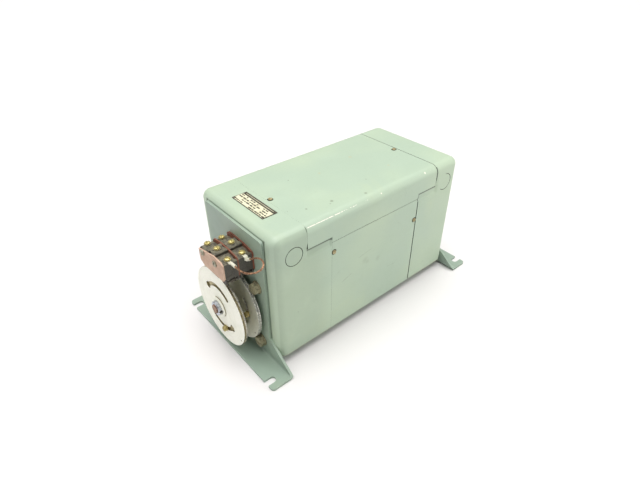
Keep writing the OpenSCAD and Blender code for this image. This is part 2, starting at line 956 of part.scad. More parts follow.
// Terminal screws with cup washers; the right-hand ones sit on the jumper's lugs
module terminal_screws() {
  color(brass) for (mid_y = [switch_front_y, switch_rear_y], i = [0:2])
    translate([switch_x + post_x[i], mid_y, switch_z + post_h[i] + (i == 2 ? lug_t : 0)]) {
      difference() {
        cylinder(r1 = cup_r[0], r2 = cup_r[1], h = cup_t, $fn = 48);
        translate([0, 0, -past]) cylinder(r = terminal_r, h = cup_t + 2 * past, $fn = 48);
      }
      translate([0, 0, cup_t]) slotted_screw(terminal_head_r, terminal_head_h, terminal_r, terminal_l);
    }
}

// Cylinder from one point to another
module rod_between(a, b, r) {
  d = b - a;
  translate(a) rotate([0, acos(d[2] / norm(d)), atan2(d[1], d[0])]) cylinder(r = r, h = norm(d), $fn = 32);
}

// A ring tongue under the terminal screw and a crimped barrel at its end
module lug(mid_y, barrel, drop) {
  x = switch_x + post_x[2];
  y = [mid_y - tongue_half, mid_y + tongue_half];
  end = barrel[0][0] + 0.3;
  difference() {
    union() {
      translate([x, mid_y, lug_z]) cylinder(r = lug_ring_r, h = lug_t, $fn = 48);
      span([x, y[0], lug_z], [end, y[1], lug_z + lug_t]);
      if (drop > 0) span([end - tongue_fold, y[0], lug_z - drop], [end, y[1], lug_z]);
      rod_between(barrel[0], barrel[1], barrel_r);
    }
    translate([x, mid_y, lug_z - past]) cylinder(r = terminal_r, h = lug_t + 2 * past, $fn = 48);
    rod_between((barrel[0] * 2 + barrel[1]) / 3, barrel[1] * 1.5 - barrel[0] * 0.5, wire_hole_r);
  }
}

module jumper_lugs() {
  color([0.8, 0.8, 0.76]) {
    lug(switch_front_y, front_barrel, 0);
    lug(switch_rear_y, rear_barrel, rear_drop);
  }
}

function unit(v) = v / norm(v);
function heading(p, i) = unit(p[min(i + 1, len(p) - 1)] - p[max(i - 1, 0)]);
function ring(c, t, r, sides) = let (u = unit(cross(t, [0, 0, 1])), v = cross(u, t))
  [for (k = [0:sides - 1]) c + r * cos(360 * k / sides) * u + r * sin(360 * k / sides) * v];

// Round tube along a list of points
module tube_along(p, r, sides) {
  n = len(p);
  points = [for (i = [0:n - 1]) each ring(p[i], heading(p, i), r, sides)];
  walls = [for (i = [0:n - 2], k = [0:sides - 1]) let (a = i * sides + k, b = i * sides + (k + 1) % sides)
    [a, b, b + sides, a + sides]];
  start = [for (k = [sides - 1:-1:0]) k];
  end = [for (k = [0:sides - 1]) (n - 1) * sides + k];
  polyhedron(points = points, faces = concat(walls, [start, end]));
}

module jumper_wire() {
  color(copper) tube_along(jumper_route, wire_r, 10);
}

// ---- roller levers and plungers ----

module hinge_pins() {
  color(steel) for (mid_y = [switch_front_y, switch_rear_y])
    translate([hinge_x, 0, hinge_z]) rod_y(hinge_pin_r, mid_y - switch_t / 2, mid_y + switch_t / 2, 32);
}

// A flat arm with a knuckle on the hinge pin and two ears that hold the roller's pin
module lever(mid_y) {
  top = hinge_z + lever_t / 2;
  ear_y = roller_w / 2 + part_clear;
  color(steel) {
    difference() {
      union() {
        span([-arm_end, mid_y - arm_w / 2, top - lever_t], [hinge_x, mid_y + arm_w / 2, top]);
        translate([hinge_x, 0, hinge_z]) rod_y(knuckle_r, mid_y - arm_w / 2, mid_y + arm_w / 2, 32);
      }
      translate([hinge_x, 0, hinge_z]) rod_y(hinge_pin_r + slide_clear, mid_y - far, mid_y + far, 32);
    }
    for (side = [mid_y - ear_y - ear_t, mid_y + ear_y]) {
      span([-arm_end, side, roller_z], [arm_end, side + ear_t, top - lever_t + eps]);
      translate([0, 0, roller_z]) rod_y(ear_r, side, side + ear_t, 32);
    }
    translate([0, 0, roller_z]) rod_y(pin_r, mid_y - ear_y - ear_t, mid_y + ear_y + ear_t, 32);
  }
}

module roller(mid_y) {
  color([0.75, 0.7, 0.55]) translate([0, 0, roller_z]) difference() {
    rod_y(roller_r, mid_y - roller_w / 2, mid_y + roller_w / 2, 48);
    rod_y(pin_r + slide_clear, mid_y - roller_w, mid_y + roller_w, 32);
  }
}

module plunger(mid_y) {
  tip = hinge_z + lever_t / 2 + plunger_gap;
  color([0.5, 0.12, 0.1]) translate([plunger_x, mid_y, tip])
    cylinder(r = plunger_r, h = switch_z + plunger_depth - tip, $fn = 32);
}

module lever_front() {
  lever(front_cam_mid);
}

module lever_rear() {
  lever(rear_cam_mid);
}

module roller_front() {
  roller(front_cam_mid);
}

module roller_rear() {
  roller(rear_cam_mid);
}

module plunger_front() {
  plunger(switch_front_y);
}

module plunger_rear() {
  plunger(switch_rear_y);
}

front_bracket();
rear_bracket();
front_end_cap();
rear_end_cap();
top_cover();
side_panel_right();
side_panel_left();
bottom_pan();
nameplate();
nameplate_pins();
cover_screws();
tie_bolts();
tie_washers();
tie_nuts();
spacer_tubes();
front_bearing();
rear_bearing();
gang_plate(1);  // gang_plate_1
gang_plate(2);  // gang_plate_2
gang_plate(3);  // gang_plate_3
core(1);  // core_1
core(2);  // core_2
core(3);  // core_3
winding(1);  // winding_1
winding(2);  // winding_2
winding(3);  // winding_3
terminal_board(1);  // terminal_board_1
terminal_board(2);  // terminal_board_2
terminal_board(3);  // terminal_board_3
shaft();
stop_collar();
brush_arm(1);  // brush_arm_1
brush_arm(2);  // brush_arm_2
brush_arm(3);  // brush_arm_3
brushes();
cam_hub_front();
cam_hub_rear();
hub_set_screws();
cam_fixed_front();
cam_fixed_rear();
cam_adjust_front();
cam_adjust_rear();
cam_screws();
switch_front();
switch_rear();
insulator_front();
insulator_middle();
insulator_rear();
switch_screws();
terminal_screws();
jumper_wire();
jumper_lugs();
hinge_pins();
lever_front();
lever_rear();
roller_front();
roller_rear();
plunger_front();
plunger_rear();
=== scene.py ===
"""Looks of a ganged variable autotransformer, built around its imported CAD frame.

Shapes are made in millimetres in the row frame, and become metres when a mesh is finished.
"""

import itertools
import math
import random

import bmesh
import bpy
from mathutils import Matrix, Vector, noise


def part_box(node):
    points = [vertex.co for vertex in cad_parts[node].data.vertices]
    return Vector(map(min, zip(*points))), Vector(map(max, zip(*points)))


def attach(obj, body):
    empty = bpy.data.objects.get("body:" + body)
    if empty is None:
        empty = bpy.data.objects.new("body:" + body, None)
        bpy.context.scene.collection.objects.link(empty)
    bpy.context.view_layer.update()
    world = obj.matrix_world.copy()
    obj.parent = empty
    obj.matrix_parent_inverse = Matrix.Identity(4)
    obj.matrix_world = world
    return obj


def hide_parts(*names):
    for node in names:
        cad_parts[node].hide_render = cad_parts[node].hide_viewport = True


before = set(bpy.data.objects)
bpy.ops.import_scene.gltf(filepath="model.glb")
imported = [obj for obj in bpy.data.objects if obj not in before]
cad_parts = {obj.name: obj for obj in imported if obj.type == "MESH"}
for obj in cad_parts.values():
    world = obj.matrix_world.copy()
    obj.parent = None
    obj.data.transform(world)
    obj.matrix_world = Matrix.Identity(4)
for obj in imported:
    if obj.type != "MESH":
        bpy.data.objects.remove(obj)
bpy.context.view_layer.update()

MM = 0.001
SHEET = 1.6
CASE_R = 10.5  # the case's corners
rng = random.Random(7)


def srgb(r, g, b):
    """Linear RGBA of a colour given as it looks on a screen, 0 to 255."""
    def linear(v):
        v /= 255
        return v / 12.92 if v <= 0.04045 else ((v + 0.055) / 1.055) ** 2.4
    return (linear(r), linear(g), linear(b), 1)


def box(node):
    """Lowest and highest corner of a CAD node, in millimetres."""
    low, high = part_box(node)
    return low / MM, high / MM


def solids(node):
    """Lowest and highest corner, in millimetres, of each separate solid of a CAD node."""
    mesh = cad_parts[node].data
    places = [tuple(round(c / MM, 3) for c in v.co) for v in mesh.vertices]
    parent = {}

    def root(p):
        while parent.setdefault(p, p) != p:
            parent[p] = parent[parent[p]]
            p = parent[p]
        return p

    for poly in mesh.polygons:
        first = places[poly.vertices[0]]
        for i in poly.vertices[1:]:
            parent[root(places[i])] = root(first)
    groups = {}
    for p in places:
        groups.setdefault(root(p), []).append(p)
    found = []
    for points in groups.values():
        found.append((Vector(map(min, *points)), Vector(map(max, *points))))
    return sorted(found, key=lambda lh: tuple(lh[0]))


SHAFT_Z = sum(c.z for c in box("shaft")) / 2
SEAM = 0.6
STEP_UP = 6.6  # from the lid's lower edge up to its step


class CaseLines:
    """Where the case's seams run, from the CAD shells' boxes."""

    def __init__(self):
        lid, panel = box("top_cover"), box("side_panel_right")
        front, rear = box("front_end_cap"), box("rear_end_cap")
        self.half_x = front[1].x
        self.end = rear[1].y
        self.low, self.high = front[0].z, front[1].z
        self.lid_y = (lid[0].y, lid[1].y)
        self.panel_y = (panel[0].y, panel[1].y)
        self.skirt_z = lid[0].z
        self.panel_top = panel[1].z
        self.step_z = self.skirt_z + STEP_UP
        self.cap_lid_y = (self.lid_y[0] - SEAM / 8, self.lid_y[1] + 1.2 * SEAM)
        self.cap_side_y = (self.panel_y[0] - SEAM / 4, self.panel_y[1] + 2.4 * SEAM)

    def shell_of(self, y, z, top):
        """The name of the shell that a point of the skin belongs to, or None in a seam."""
        if self.lid_y[0] < y < self.lid_y[1] and (top or z > self.step_z + SEAM / 2):
            return "lid"
        if self.panel_y[0] < y < self.panel_y[1] and (top or z > self.skirt_z):
            return "lid"
        if self.panel_y[0] < y < self.panel_y[1] and z < self.panel_top:
            return "panel"
        if y < self.cap_lid_y[0] or (y < self.cap_side_y[0] and not top and z < self.step_z):
            return "front"
        if y > self.cap_lid_y[1] or (y > self.cap_side_y[1] and not top and z < self.step_z):
            return "rear"
        return None


case = CaseLines()
plate_points = [v.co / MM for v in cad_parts["front_bracket"].data.vertices if v.co.z / MM > SHAFT_Z]
PLATE_HALF = max(p.x for p in plate_points)
PLATE_TOP = max(p.z for p in plate_points)


# ---- camera, light and floor ----

# The camera is the one that was fitted to the case's corners in the photograph.
EYE = Vector((0.3761, -0.3481, 0.4368))
LOOK = Vector((-0.6215, 0.5292, -0.5778))
ROLL = -0.0025
LENS_MM = 25.98
SENSOR_MM = 36
ZENITH = 5.35
HORIZON = 0.11


def make_camera():
    data = bpy.data.cameras.new("camera")
    data.lens, data.sensor_width = LENS_MM, SENSOR_MM
    camera = bpy.data.objects.new("camera", data)
    bpy.context.scene.collection.objects.link(camera)
    turn = LOOK.to_track_quat("-Z", "Y").to_matrix().to_4x4() @ Matrix.Rotation(ROLL, 4, "Z")
    camera.matrix_world = Matrix.Translation(EYE) @ turn
    bpy.context.scene.camera = camera


def area_light(name, place, aim, size, energy, colour):
    data = bpy.data.lights.new(name, "AREA")
    data.shape, data.size, data.size_y = "RECTANGLE", size[0], size[1]
    data.energy, data.color = energy, colour
    lamp = bpy.data.objects.new(name, data)
    lamp.location = place
    lamp.rotation_euler = (Vector(aim) - Vector(place)).to_track_quat("-Z", "Y").to_euler()
    bpy.context.scene.collection.objects.link(lamp)


def make_studio():
    """An even sky that is far brighter overhead, with two weak soft boxes for highlights."""
    world = bpy.data.worlds.new("studio")
    world.use_nodes = True
    tree = world.node_tree
    direction = tree.nodes.new("ShaderNodeTexCoord").outputs["Generated"]
    split = tree.nodes.new("ShaderNodeSeparateXYZ")
    tree.links.new(direction, split.inputs[0])
    steps = []
    for operation, value in (("MAXIMUM", 0.0), ("POWER", 6.0), ("MULTIPLY_ADD", ZENITH)):
        node = tree.nodes.new("ShaderNodeMath")
        node.operation = operation
        node.inputs[1].default_value = value
        node.inputs[2].default_value = HORIZON
        tree.links.new(steps[-1] if steps else split.outputs["Z"], node.inputs[0])
        steps.append(node.outputs[0])
    tree.links.new(steps[-1], tree.nodes["Background"].inputs["Strength"])
    tree.nodes["Background"].inputs["Color"].default_value = (1.0, 0.965, 0.955, 1)
    bpy.context.scene.world = world
    bpy.context.scene.view_settings.view_transform = "Standard"
    area_light("right", (0.9, 0.8, 0.5), (0, 0.05, 0.08), (0.6, 0.6), 3.4, (1.0, 1.0, 0.95))
    area_light("left", (-0.7, -1.4, 0.7), (0, -0.15, 0.08), (0.8, 0.8), 2.9, (0.97, 1.0, 1.0))


# ---- procedural materials ----

class Shader:
    """A material's node tree. Textures are in the piece's own metres."""

    def __init__(self, name, roughness=0.5, metallic=0.0):
        self.material = bpy.data.materials.new(name)
        self.material.use_nodes = True
        self.tree = self.material.node_tree
        self.surface = self.tree.nodes["Principled BSDF"]
        self.surface.inputs["Roughness"].default_value = roughness
        self.surface.inputs["Metallic"].default_value = metallic
        self.place = self.add("ShaderNodeTexCoord", out="Object")

    def add(self, kind, out=0, inputs=None, **settings):
        """Adds a node and returns one of its outputs."""
        node = self.tree.nodes.new(kind)
        for key, value in settings.items():
            setattr(node, key, value)
        for key, value in (inputs or {}).items():
            if isinstance(value, bpy.types.NodeSocket):
                self.tree.links.new(value, node.inputs[key])
            else:
                node.inputs[key].default_value = value
        return node.outputs[out]

    def noise(self, size_mm, detail=3, rough=0.55, stretch=(1, 1, 1), distortion=0.0):
        """Noise from 0 to 1 with features of about that size."""
        place = self.add("ShaderNodeMapping", inputs={"Vector": self.place, "Scale": stretch})
        return self.add("ShaderNodeTexNoise", inputs={"Vector": place, "Scale": 1000 / size_mm,
                        "Detail": detail, "Roughness": rough, "Distortion": distortion})

    def ramp(self, value, start, end):
        """0 at the start and 1 at the end, and level beyond both. The end may be the lower one."""
        return self.add("ShaderNodeMapRange", interpolation_type="SMOOTHSTEP",
                        inputs={"Value": value, "From Min": start, "From Max": end})

    def past(self, place, start_mm, end_mm):
        """A ramp along a length."""
        return self.ramp(place, start_mm * MM, end_mm * MM)

    def spread(self, mask, low, high):
        """A mask from 0 to 1 made into a value from low to high."""
        return self.add("ShaderNodeMapRange", inputs={"Value": mask, "To Min": low, "To Max": high})

    def math(self, operation, a, b=0.0):
        return self.add("ShaderNodeMath", operation=operation, inputs={0: a, 1: b})

    def apart(self, a, b):
        return self.math("ABSOLUTE", self.math("SUBTRACT", a, b))

    def distance(self, a, b):
        return self.math("SQRT", self.math("ADD", self.math("MULTIPLY", a, a), self.math("MULTIPLY", b, b)))

    def both(self, *masks):
        """1 only where all the masks are 1."""
        result = masks[0]
        for m in masks[1:]:
            result = self.math("MULTIPLY", result, m)
        return result

    def mix(self, share, a, b):
        """Colour a where share is 0 and colour b where it is 1."""
        return self.add("ShaderNodeMix", out=2, inputs={0: share, 6: a, 7: b}, data_type="RGBA")

    def over(self, colour, mask, share, other):
        """A colour with a share of another over it where the mask is 1."""
        return self.mix(self.math("MULTIPLY", mask, share), colour, other)

    def axis(self, name, vector=None):
        return self.add("ShaderNodeSeparateXYZ", out=name, inputs={"Vector": vector or self.place})

    def specks(self, cell_mm, size_mm, share):
        """Spots of about that size in some of the cells."""
        node = self.tree.nodes.new("ShaderNodeTexVoronoi")
        node.inputs["Scale"].default_value = 1000 / cell_mm
        self.tree.links.new(self.place, node.inputs["Vector"])
        near = self.ramp(node.outputs["Distance"], size_mm / cell_mm, 0.45 * size_mm / cell_mm)
        level = self.add("ShaderNodeSeparateColor", inputs={0: node.outputs["Color"]})
        return self.both(near, self.math("LESS_THAN", level, share))

    def specked(self, colour, *kinds):
        """A colour with specks, each kind as (cell_mm, size_mm, share of cells, strength, screen colour)."""
        for cell_mm, size_mm, share, strength, tint in kinds:
            colour = self.over(colour, self.specks(cell_mm, size_mm, share), strength, srgb(*tint))
        return colour

    def near(self, *spots, soft=0.35):
        """Patches round points given as (x, y, z, radius) in millimetres, with ragged edges."""
        ragged = self.spread(self.noise(2.2, 4, 0.7), 0.55, 1.5)
        total = None
        for x, y, z, radius in spots:
            away = self.add("ShaderNodeVectorMath", out="Value", operation="DISTANCE",
                            inputs={0: self.place, 1: (x * MM, y * MM, z * MM)})
            patch = self.past(self.math("MULTIPLY", away, ragged), radius, soft * radius)
            total = patch if total is None else self.math("MAXIMUM", total, patch)
        return total

    def set(self, colour=None, roughness=None, metallic=None):
        """Links outputs of nodes to the surface. It takes no plain values."""
        for socket, value in (("Base Color", colour), ("Roughness", roughness), ("Metallic", metallic)):
            if value is not None:
                self.tree.links.new(value, self.surface.inputs[socket])

    def bump(self, height, depth_mm, strength):
        bumped = self.add("ShaderNodeBump", inputs={"Height": height, "Distance": depth_mm * MM,
                                                   "Strength": strength})
        self.tree.links.new(bumped, self.surface.inputs["Normal"])


SAGE = (0.470, 0.590, 0.440, 1)
SAGE_COOL = (0.430, 0.552, 0.430, 1)
SAGE_WARM = (0.500, 0.600, 0.410, 1)
SAGE_DARK = (0.240, 0.310, 0.220, 1)
PRIMER = (0.920, 0.900, 0.800, 1)
# Painted shade: a dark green under the lid's step, by the rear seam and round the brackets' plates.
CORNER_SHADE = srgb(58, 72, 56)
# Painted shade: the near-black that fills the open notches.
NOTCH_SHADE = srgb(28, 32, 26)

# The lid, a side panel and the rear cap meet at a small open notch on each side, as (x, y, z, radius).
NOTCHES = [(sign * case.half_x, case.cap_side_y[1] - 0.6, case.skirt_z - 0.6, 2.9) for sign in (-1, 1)]


def darker(colour, share):
    return tuple(share * c for c in colour[:3]) + (1,)


def sage_base(name, darkening, shade=(1, 1, 1)):
    """The paint's own colour, with its slow drift, mottling and handling marks."""
    paints = (SAGE_COOL, SAGE, SAGE_WARM)
    cool, plain, warmer = (tuple(a * b for a, b in zip(paint, shade)) + (1,) for paint in paints)
    s = Shader(name, roughness=0.42)
    colour = s.mix(s.ramp(s.noise(110, 2), 0.38, 0.64), cool, plain)
    warm = s.ramp(s.noise(70, 3, distortion=0.6), 0.52, 0.72)
    colour = s.over(colour, warm, 0.28, warmer)
    mottle = s.ramp(s.noise(3.0, 4, 0.7), 0.35, 0.75)
    colour = s.over(colour, mottle, 0.05, SAGE_DARK)
    cloud = s.ramp(s.noise(26, 5, 0.62, distortion=1.2), 0.60, 0.78)
    smudge = s.both(cloud, s.ramp(s.noise(6, 4, 0.7), 0.3, 0.8))
    return s, s.over(colour, smudge, darkening * 3, SAGE_DARK)


# Paints shade in and round the open notches.
def notch_shaded(s, colour):
    return s.mix(s.near(*NOTCHES, soft=0.7), colour, NOTCH_SHADE)


def finish_paint(s, colour):
    """Paint with scuffs that dull it, and a fine orange peel."""
    scuff = s.ramp(s.noise(18, 4, 0.6, stretch=(1, 0.35, 1)), 0.45, 0.75)
    s.set(colour=colour, roughness=s.spread(scuff, 0.38, 0.55))
    s.bump(s.noise(1.6, 2, 0.5), 0.06, 0.5)
    return s.material


def sage_paint(name, darkening, shade=(1, 1, 1)):
    s, colour = sage_base(name, darkening, shade)
    colour = s.specked(colour, (17, 0.55, 0.20, 0.75, (88, 96, 78)), (9, 0.30, 0.22, 0.55, (110, 122, 100)))
    return finish_paint(s, colour)


def cap_paint():
    """The end caps' paint: painted shade under the lid's step, at the rear tab and round the brackets'
    plates, with a painted shade over the front of the sides, and dirty along the bottom.
    """
    s, colour = sage_base("sage_enamel_caps", 0.12)
    x, y, z = (s.math("ABSOLUTE", s.axis(a)) for a in "XYZ")
    to_rear = s.axis("Y")
    on_side = s.past(x, case.half_x - 4, case.half_x - 3)
    # Painted shade under the lid's step and along the rear tab by the seam, broken up in patches.
    in_step = s.both(on_side, s.past(y, case.panel_y[1] - 1.5, case.panel_y[1]),
                     s.past(y, -(case.lid_y[0] - 0.8), -(case.lid_y[0] + 0.4)))
    under = s.past(z, case.step_z - 3.8, case.step_z - 2.2)
    patchy = s.ramp(s.noise(5, 4, 0.7), 0.10, 0.45)
    tab = s.both(on_side, s.past(to_rear, case.cap_side_y[1] + 2.4, case.cap_side_y[1] + 1.2),
                 s.math("GREATER_THAN", to_rear, 0.0), s.past(z, case.skirt_z - 2, case.skirt_z))
    step_and_tab_shade = s.math("MAXIMUM", s.both(in_step, under, patchy), s.both(tab, patchy))
    colour = notch_shaded(s, s.over(colour, step_and_tab_shade, 0.80, CORNER_SHADE))
    # Painted shade over the front of the sides.
    front_side_shade = s.both(on_side, s.past(to_rear, -70, -100), s.ramp(s.noise(40, 3), 0.1, 0.5))
    colour = s.over(colour, front_side_shade, 0.22, SAGE_DARK)
    # Painted shade: a dark line round the brackets' plates, where they meet the ends.
    on_end = s.past(y, case.end - 3, case.end - 1)
    side_line = s.both(s.past(s.apart(x, PLATE_HALF * MM), 3.0, 0.8), s.past(z, PLATE_TOP + 2, PLATE_TOP))
    top_line = s.both(s.past(s.apart(z, PLATE_TOP * MM), 1.8, 0.4), s.past(x, PLATE_HALF + 2, PLATE_HALF))
    outline = s.both(on_end, s.math("MAXIMUM", side_line, s.math("MULTIPLY", top_line, 0.6)))
    colour = s.over(colour, outline, 0.80, CORNER_SHADE)
    bottom = s.past(z, case.low + 1.8, case.low + 0.3)
    colour = s.over(colour, bottom, 0.35, srgb(150, 128, 96))
    colour = s.specked(colour, (17, 0.55, 0.30, 0.8, (88, 96, 78)), (7, 0.40, 0.22, 0.5, (120, 132, 108)))
    return finish_paint(s, colour)


def lit_chipped_edge_paint(name, shade=(1, 1, 1)):
    """Edges of the painted sheets: lighter in patches all along as a painted highlight, and chipped in
    places.
    """
    s, colour = sage_base(name, 0.2, shade)
    painted_highlight = s.ramp(s.noise(9, 4, 0.7), 0.45, 0.70)
    chip = s.ramp(s.noise(2.4, 3, 0.6), 0.68, 0.72)
    colour = s.over(colour, painted_highlight, 0.35, srgb(222, 234, 214))
    return finish_paint(s, s.over(colour, chip, 0.8, srgb(120, 112, 90)))


def lid_paint():
    """The lid's paint: chipped along the front half of its right top edge, and marked here and there."""
    s, colour = sage_base("sage_enamel_lid", 0.10)
    x, y, z = (s.axis(a) for a in "XYZ")
    edge_x, edge_z = (flat - CASE_R + CASE_R * math.sqrt(0.5) for flat in (case.half_x, case.high))
    start = case.lid_y[0] + 1
    from_edge = s.distance(s.math("SUBTRACT", x, edge_x * MM), s.math("SUBTRACT", z, edge_z * MM))
    ragged = s.math("MULTIPLY", from_edge, s.math("ADD", s.noise(1.5, 3, 0.7), 0.5))
    fading = s.past(y, start + 30, start + 95)
    cover = s.math("ADD", s.math("MULTIPLY", fading, 0.25), 0.38)
    flake = s.noise(3.0, 4, 0.7, stretch=(1, 0.6, 1))
    chips = s.both(s.past(y, start, start + 3), s.past(ragged, 0.7, 0.3),
                   s.ramp(s.math("SUBTRACT", flake, cover), 0.0, 0.05))
    edge_tone = s.near((edge_x, 83, edge_z, 1.9), (edge_x, 5, edge_z, 1.3))
    colour = s.specked(colour, (17, 0.55, 0.34, 0.8, (70, 78, 62)), (9, 0.30, 0.30, 0.6, (98, 108, 88)))
    dark = ((49.5, -53, 2.6), (61.5, -12, 2.2), (44.5, -85, 1.8), (53, -58, 1.2), (38, 12, 1.2),
            (-20, -60, 1.3))
    rust = ((-19, 40, 3.4), (-10, -20, 2.4), (30, 60, 2.2))
    for marks, share, tint in ((dark, 0.55, srgb(96, 102, 78)), (rust, 0.30, srgb(196, 176, 122))):
        spots = [(mark_x, mark_y, case.high, radius) for mark_x, mark_y, radius in marks]
        colour = s.over(colour, s.near(*spots), share, tint)
    colour = s.over(colour, s.math("MAXIMUM", chips, edge_tone), 0.9, PRIMER)
    return finish_paint(s, notch_shaded(s, colour))


def panel_paint():
    """The side panels' paint, with a few long fine scratches and hand smudges."""
    s, colour = sage_base("sage_enamel_panel", 0.14)
    y, z = s.axis("Y"), s.axis("Z")
    scratches = ((-58, 77, 0.34, 20, 0.5), (-30, 101, 0.16, 26, 0.25), (24, 60, -0.1, 18, 0.3))
    for y0, z0, slope, length, width in scratches:
        rise = s.math("MULTIPLY", s.math("SUBTRACT", y, y0 * MM), slope)
        line = s.past(s.apart(s.math("SUBTRACT", z, z0 * MM), rise), width, 0.3 * width)
        ends = s.both(s.past(y, y0, y0 + 2), s.past(y, y0 + length, y0 + length - 6))
        broken = s.ramp(s.noise(7, 3, 0.6), 0.30, 0.55)
        colour = s.over(colour, s.both(line, ends, broken), 0.6, srgb(112, 124, 102))
    smudges = ((1, -18, 92, 7), (1, 5, 84, 6), (1, -14, 88, 5), (-1, 20, 90, 7), (-1, -30, 70, 5))
    smudge = s.near(*((side * case.half_x, y0, z0, radius) for side, y0, z0, radius in smudges), soft=0.1)
    colour = notch_shaded(s, s.over(colour, smudge, 0.16, srgb(120, 126, 96)))
    return finish_paint(s, s.specked(colour, (23, 0.5, 0.15, 0.6, (96, 104, 84))))


def seam_shade():
    """Painted shade for the open seams: the end caps' lips, the sheets' cut edges, and the cut knockout
    rings, notches and dimples, mottled dark.
    """
    s = Shader("seam_shade", roughness=0.8)
    patchy = s.ramp(s.noise(2.5, 4, 0.7), 0.35, 0.7)
    s.set(colour=s.mix(patchy, srgb(58, 66, 54), srgb(30, 34, 28)))
    s.bump(s.noise(0.9, 3), 0.1, 0.6)
    return s.material


def metal(name, colour, dark, roughness, grain_mm, metallic, dirt, stretch=(1, 1, 1), bump=0.03):
    """Bare or plated metal with a directional grain, stains and dirt. Its colours are screen colours."""
    colour, dark = srgb(*colour), srgb(*dark)
    s = Shader(name, metallic=metallic)
    grain = s.noise(grain_mm, 4, 0.65, stretch=stretch)
    stain = s.ramp(s.noise(grain_mm * 3.5, 4, 0.65, distortion=0.8), 0.45, 0.70)
    tone = s.mix(s.ramp(grain, 0.3, 0.7), colour, darker(colour, 0.8))
    s.set(colour=s.over(tone, stain, dirt, dark), roughness=s.spread(stain, roughness, roughness + 0.3))
    s.bump(grain, bump, 0.6)
    return s.material


def plastic(name, colour, dust, roughness, dust_share):
    """Moulded plastic with dust on the faces that look up."""
    s = Shader(name)
    up = s.axis("Z", s.add("ShaderNodeNewGeometry", out="Normal"))
    settled = s.both(s.ramp(up, 0.2, 0.95), s.ramp(s.noise(3.5, 5, 0.7), 0.30, 0.72))
    film = s.math("MULTIPLY", s.ramp(s.noise(1.3, 4, 0.75), 0.45, 0.75), 0.30)
    share = s.math("MAXIMUM", s.math("MULTIPLY", settled, dust_share), film)
    s.set(colour=s.mix(share, srgb(*colour), srgb(*dust)), roughness=s.spread(share, roughness, 0.85))
    s.bump(s.noise(0.6, 2, 0.5), 0.04, 0.5)
    return s.material


def fibre(name, face, edge, speckle=0.35):
    """Vulcanised fibre sheet: matt, with a fine paper fleck."""
    face, edge = srgb(*face), srgb(*edge)
    s = Shader(name, roughness=0.72)
    fleck = s.ramp(s.noise(0.9, 4, 0.75), 0.40, 0.72)
    cloud = s.ramp(s.noise(9, 3, 0.6), 0.38, 0.68)
    s.set(colour=s.over(s.over(face, cloud, 0.5, edge), fleck, speckle, edge))
    s.bump(s.noise(0.7, 3, 0.6), 0.03, 0.6)
    return s.material


def cam_paint(name, face, shade, edge, grubby, dirt, upper_shade=None):
    """Painted disc faces with a turned grain and dirt, and bare metal on the sheared edges."""
    face, shade, edge, grubby = (srgb(*c) for c in (face, shade, edge, grubby))
    s = Shader(name, roughness=0.5)
    x = s.axis("X")
    dz = s.math("SUBTRACT", s.axis("Z"), SHAFT_Z * MM)
    drift = s.math("MULTIPLY", x, 0.04)
    ring_place = s.add("ShaderNodeCombineXYZ", inputs={"X": s.distance(x, dz), "Y": drift})
    rings = s.add("ShaderNodeTexNoise", inputs={"Vector": ring_place, "Scale": 900, "Detail": 3})
    colour = s.mix(s.ramp(s.noise(24, 3), 0.35, 0.7), face, shade)
    colour = s.over(colour, s.ramp(rings, 0.5, 0.75), 0.12, grubby)
    # Painted shade: darker towards the top of the disc.
    if upper_shade:
        low, high, share = upper_shade
        colour = s.over(colour, s.past(dz, low, high), share, grubby)
    smear = s.ramp(s.noise(7, 5, 0.72, stretch=(1, 1, 0.5), distortion=1.0), 0.50, 0.74)
    colour = s.over(colour, smear, dirt, grubby)
    to_front = s.axis("Y", s.add("ShaderNodeNewGeometry", out="True Normal"))
    side = s.ramp(s.math("ABSOLUTE", to_front), 0.8, 0.3)
    nicks = s.ramp(s.noise(2.2, 3, 0.7), 0.40, 0.60)
    s.set(colour=s.mix(side, colour, s.mix(nicks, edge, darker(edge, 0.35))),
          metallic=s.math("MULTIPLY", side, 0.6))
    s.bump(rings, 0.02, 0.5)
    return s.material


def braid():
    s = Shader("copper_strands", metallic=0.6)
    tarnish = s.ramp(s.noise(2.5, 4, 0.7), 0.35, 0.65)
    s.set(colour=s.mix(tarnish, srgb(188, 148, 116), srgb(100, 72, 54)),
          roughness=s.spread(tarnish, 0.32, 0.6))
    s.bump(s.noise(0.5, 2), 0.02, 0.5)
    return s.material


def wound_copper():
    """Enamelled wire wound round a core: the turns run out from the shaft."""
    s = Shader("wound_copper", metallic=0.6)
    angle = s.math("ARCTAN2", s.math("SUBTRACT", s.axis("Z"), SHAFT_Z * MM), s.axis("X"))
    turns = s.math("SINE", s.math("MULTIPLY", angle, 200.0))
    s.set(colour=s.mix(s.ramp(turns, -0.9, 0.2), srgb(74, 34, 18), srgb(190, 108, 62)),
          roughness=s.spread(s.noise(6), 0.3, 0.5))
    s.bump(turns, 0.3, 0.8)
    return s.material


# ---- mesh tools ----

class Build:
    """A mesh being made in millimetres, whose parts can have different materials."""

    def __init__(self):
        self.bm = bmesh.new()

    def add(self, maker, *args, at=None, material=0, **settings):
        before = set(self.bm.faces)
        verts = maker(self.bm, *args, **settings)
        if at is not None:
            moved(self.bm, verts, at)
        for face in self.bm.faces:
            if face not in before:
                face.material_index = material

    def done(self, name, materials, **settings):
        return into_object(self.bm, name, materials, **settings)


